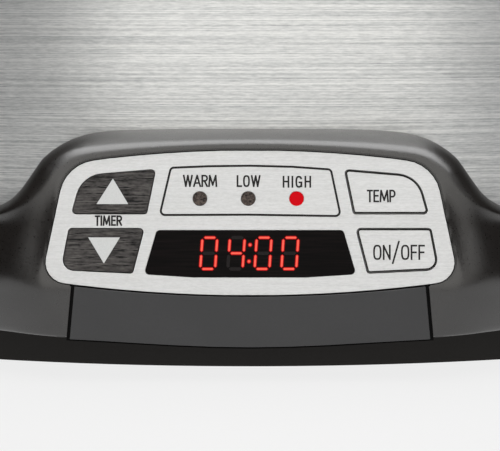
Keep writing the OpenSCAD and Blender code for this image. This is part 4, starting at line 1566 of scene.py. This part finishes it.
    def keys(self) -> None:
        """The four keys, each with its own print."""
        for node, body, corners, label, box in (
            ("key_temp", "temp_key", self.temp_key, "TEMP", self.temp_word),
            ("key_power", "power_key", self.power_key, "ON/OFF", self.power_word),
        ):
            self.restyle(node, f"{body}_cap", body, OVERLAY, self.key_edge)
            word = self.lettering(label, box)
            line = rim(f"{body}_line", fillet(corners, -self.key_gap), self.key_line, self.print_low,
                       self.print_high)
            self.keep(self.on_face(merged(f"{body}_print", [word, line]), self.key_raise), body, INK)
        for node, body, tip in (
            ("key_timer_up", "timer_up_key", self.up_arrow),
            ("key_timer_down", "timer_down_key", self.down_arrow),
        ):
            self.restyle(node, f"{body}_cap", body, DARK_KEY, self.key_edge)
            arrow = slab(f"{body}_arrow", fillet(tip), self.print_low, self.print_high)
            self.keep(self.on_face(arrow, self.key_raise), body, SILVER_INK)

    def bar_outline(self, start: Point, end: Point, width: float, short: float) -> list[Point]:
        """One pointed bar of a digit.

        Args:
            start: One end of its place, in panel millimetres.
            end: The other end.
            width: How wide the bar is.
            short: How far it stops before each end.

        Returns:
            Its six corners.
        """
        a, b = Vector(start), Vector(end)
        way = (b - a).normalized()
        side = Vector((-way.y, way.x)) * width / 2
        a, b = a + way * short, b - way * short
        tuck = way * width * self.bar_tuck
        return [tuple(p) for p in (a, a + tuck - side, b - tuck - side, b, b - tuck + side, a + tuck + side)]

    def clock(self) -> None:
        """The window and its digits, lit and unlit."""
        self.restyle("display_window", "clock_window", "cooker", WINDOW, self.lens_edge)
        wide, tall = self.digit_size
        low, high = self.print_low, self.print_high
        lit: list[Piece] = []
        core: list[Piece] = []
        unlit: list[Piece] = []
        for digit, left in self.digit_places:
            for bar in Segment:
                ends = []
                for share_x, share_y in bar.value:
                    up = self.digit_low + share_y * tall
                    ends.append((left + share_x * wide + self.slant * (up - self.digit_low), up))
                outline = self.bar_outline(*ends, self.bar, self.bar_short)
                if bar not in DIGIT_BARS[digit]:
                    unlit.append(slab("bar", outline, low, self.unlit_high))
                    continue
                lit.append(slab("bar", outline, low, high))
                narrow = self.bar_outline(*ends, self.bar * self.core_share, self.core_short)
                core.append(slab("core", narrow, high, high + self.core_raise))
        round_turn = [2 * math.pi * k / self.dot_facets for k in range(self.dot_facets)]
        for up in self.dots_up:
            across = self.dot_across + self.slant * (up - self.dots_up[0])
            for radius, foot, head, run in ((self.dot_r, low, high, lit),
                                            (self.dot_core_r, high, high + self.core_raise, core)):
                dot = [(across + radius * math.cos(a), up + radius * math.sin(a)) for a in round_turn]
                run.append(slab("dot", dot, foot, head))
        self.keep(self.on_face(merged("clock_digits", lit)), "cooker", SEGMENT_EDGE)
        self.keep(self.on_face(merged("clock_digit_cores", core)), "cooker", SEGMENT)
        self.keep(self.on_face(merged("clock_blank_bars", unlit)), "cooker", UNLIT)

    def build(self) -> None:
        """Make the overlay and all that is on it."""
        self.restyle("panel_overlay", "silver_overlay", "cooker", OVERLAY, self.key_edge)
        self.printed()
        self.keys()
        self.clock()
        for node, name, finish in (("lamp_warm", "warm_lens", DARK_LENS),
                                   ("lamp_low", "low_lens", DARK_LENS),
                                   ("lamp_high", "high_lens", LIT_LENS)):
            self.restyle(node, name, "cooker", finish, self.lens_edge)
        self.dress(SMALL_PLASTIC, "plunger_timer_up", "plunger_timer_down", "plunger_temp", "plunger_power")


# ---------------------------------------------------------------- body, pot, crock and lid


@dataclass
class Body(SubAssembly):
    """The brushed steel wrap with its two handles and the cord's gland."""

    grip_round: float = 2.6

    def build(self) -> None:
        """Make the wrap, the handles and the gland."""
        self.restyle("outer_wrap", "steel_wrap_sheet", "cooker", WRAP_STEEL, degrees=25)
        for side in ("left", "right"):
            self.restyle(f"handle_{side}", f"{side}_grip", "cooker", GRIP, self.grip_round, 4, 40)
        self.restyle("cord_gland", "cord_bush", "cooker", GRIP, 0.5, 3)
        self.dress(SCREW, "handle_screws", "gland_nut")


@dataclass
class CookingVessel(SubAssembly):
    """The liner, the stoneware crock and the glass lid with its knob."""

    def build(self) -> None:
        """Make the liner, crock, lid, knob and its fixings."""
        self.restyle("heating_pot", "heating_liner", "cooker", ALUMINIUM, degrees=25)
        self.restyle("crock", "glazed_crock", "crock", STONEWARE, degrees=35)
        self.restyle("lid_glass", "glass_lid", "lid", LID_GLASS, degrees=35)
        self.restyle("lid_knob", "black_knob", "lid", GRIP, degrees=35)
        self.restyle("knob_screw", "lid_screw", "lid", SCREW)
        self.restyle("knob_washer", "lid_washer", "lid", SILICONE)


@dataclass
class Works(SubAssembly):
    """What is inside: heater, boards, switches, leads and brackets."""

    def build(self) -> None:
        """Dress the hidden pieces, which keep their CAD shapes."""
        for finish, nodes in (
            (BOARD, ("control_board", "power_board")),
            (SCREW, ("board_screws", "power_board_screws", "strap_screw", "bracket_screws",
                     "shield_screws")),
            (MODULE, ("display_module",)),
            (LED_BODY, ("indicator_leds",)),
            (SMALL_PLASTIC, ("key_switches", "buzzer")),
            (RELAY_CASE, ("relay",)),
            (TAPE, ("transformer",)),
            (CAPACITOR, ("filter_capacitor",)),
            (TERMINAL, ("terminal_block",)),
            (RIBBON, ("ribbon_cable",)),
            (BRAID, ("heater_leads", "sensor_lead")),
            (BRASS, ("temperature_sensor",)),
            (CERAMIC, ("thermal_fuse",)),
            (MICA, ("heater_band",)),
            (STRIP, ("band_strap", "pot_brackets", "heat_shield")),
        ):
            self.dress(finish, *nodes)


# ---------------------------------------------------------------- studio


@dataclass(frozen=True)
class LightTable(Finish):
    """White opal acrylic lit from below, which leaves only a faint shadow."""

    colour: str = "#303030"
    tone: str = "#2e2e2d"
    glow: str = "#ffffff"
    strength: float = 0.82

    def shader(self, tree: Tree, place: Socket) -> Node:
        """Matt white with slow unevenness over an even glow.

        Args:
            tree: The material's node tree.
            place: The object's own coordinates.

        Returns:
            The shader.
        """
        mottle = add(tree, "TexNoise", {"Vector": place, "Scale": per_mm(160), "Detail": 3.0})
        return self.surface(tree, {
            "Roughness": 0.6, "Specular IOR Level": 0.2, "Emission Color": linear(self.glow),
            "Emission Strength": self.strength}, mottle, tone_first=True)


@dataclass
class Softbox:
    """One soft light: a rectangle that faces the cooker."""

    name: str
    place: Corner
    aim: Corner
    size: Point
    power: float
    colour: str = "#ffffff"

    def hang(self) -> None:
        """Put the light in the scene, unseen by the camera itself."""
        lamp = bpy.data.lights.new(self.name, "AREA")
        lamp.shape = "RECTANGLE"
        lamp.size, lamp.size_y = self.size
        lamp.energy = self.power
        lamp.color = linear(self.colour)[:3]
        holder = bpy.data.objects.new(self.name, lamp)
        bpy.context.scene.collection.objects.link(holder)
        holder.location = self.place
        holder.rotation_euler = (Vector(self.aim) - Vector(self.place)).to_track_quat("-Z", "Y").to_euler()
        holder.visible_camera = False


@dataclass
class Studio:
    """Floor, lights and camera; places are in metres."""

    eye: Corner = (0.0, -0.62677, 0.105)
    pitch_down: float = 7.0
    focal_px: float = 1746.0
    frame_px: tuple[int, int] = (500, 451)
    sensor_mm: float = 36.0
    nearest: float = 0.01
    table: float = 40.0
    # The cloth's radius, height and middle, as shares of the table.
    cloth: Corner = (0.49, 0.6, 0.29)
    air_colour: str = "#dfe5ee"
    air_strength: float = 0.02
    lights: tuple[Softbox, ...] = (
        Softbox("overhead_softbox", (0.07, -0.4, 1.2), (0.0, -0.1, 0.1), (1.47, 1.6), 36),
        Softbox("front_softbox", (0.1, -2.1, 0.75), (0.02, 0, 0.08), (2.3, 1.2), 11, "#fffdf8"),
    )

    def camera(self) -> None:
        """Stand the camera in front of the panel, looking slightly down."""
        lens = bpy.data.cameras.new("front_camera")
        lens.sensor_width = self.sensor_mm
        lens.lens = self.focal_px * self.sensor_mm / self.frame_px[0]
        lens.clip_start = self.nearest
        holder = bpy.data.objects.new("front_camera", lens)
        bpy.context.scene.collection.objects.link(holder)
        holder.location = self.eye
        holder.rotation_euler = (math.radians(90 - self.pitch_down), 0, 0)
        bpy.context.scene.camera = holder

    def floor(self) -> None:
        """Lay the white table that the cooker stands on."""
        pick()
        bpy.ops.mesh.primitive_plane_add(size=self.table)
        table = bpy.context.object
        table.name = "white_table"
        table.data.materials.append(LightTable("opal_acrylic", "").material())

    def surround(self) -> None:
        """Hang pale cloth all round, far off, which only the eye sees: it lights nothing."""
        radius, height, middle = (self.table * share for share in self.cloth)
        pick()
        bpy.ops.mesh.primitive_cylinder_add(vertices=96, radius=radius, depth=height,
                                            end_fill_type="NOTHING", location=(0, 0, middle))
        cloth = bpy.context.object
        cloth.name = "pale_surround"
        smooth(cloth)
        tone = LightTable("pale_cloth", "", "#101010", "#0f0f0f", "#f4f4f4", 0.92)
        cloth.data.materials.append(tone.material())
        cloth.visible_diffuse = cloth.visible_glossy = cloth.visible_shadow = False

    def air(self) -> None:
        """Fill the shadows a little from all round."""
        world = bpy.data.worlds.new("pale_studio")
        world.use_nodes = True
        back = world.node_tree.nodes["Background"]
        back.inputs["Color"].default_value = linear(self.air_colour)
        back.inputs["Strength"].default_value = self.air_strength
        bpy.context.scene.world = world
        bpy.context.scene.view_settings.view_transform = "Standard"

    def build(self) -> None:
        """Set the whole studio up."""
        self.camera()
        self.floor()
        self.surround()
        self.air()
        for light in self.lights:
            light.hang()


def main() -> None:
    """Build the studio and every sub-assembly, and report what was made."""
    logging.basicConfig(level=logging.INFO, format="%(name)s %(message)s")
    Studio().build()
    total = 0
    for part in (BaseHousing(), ControlPanel(), Body(), CookingVessel(), Works()):
        part.build()
        total += len(part.pieces)
        LOG.info("%s done, %d pieces", type(part).__name__, len(part.pieces))
    LOG.info("%d pieces in all", total)


if __name__ == "__main__":
    main()
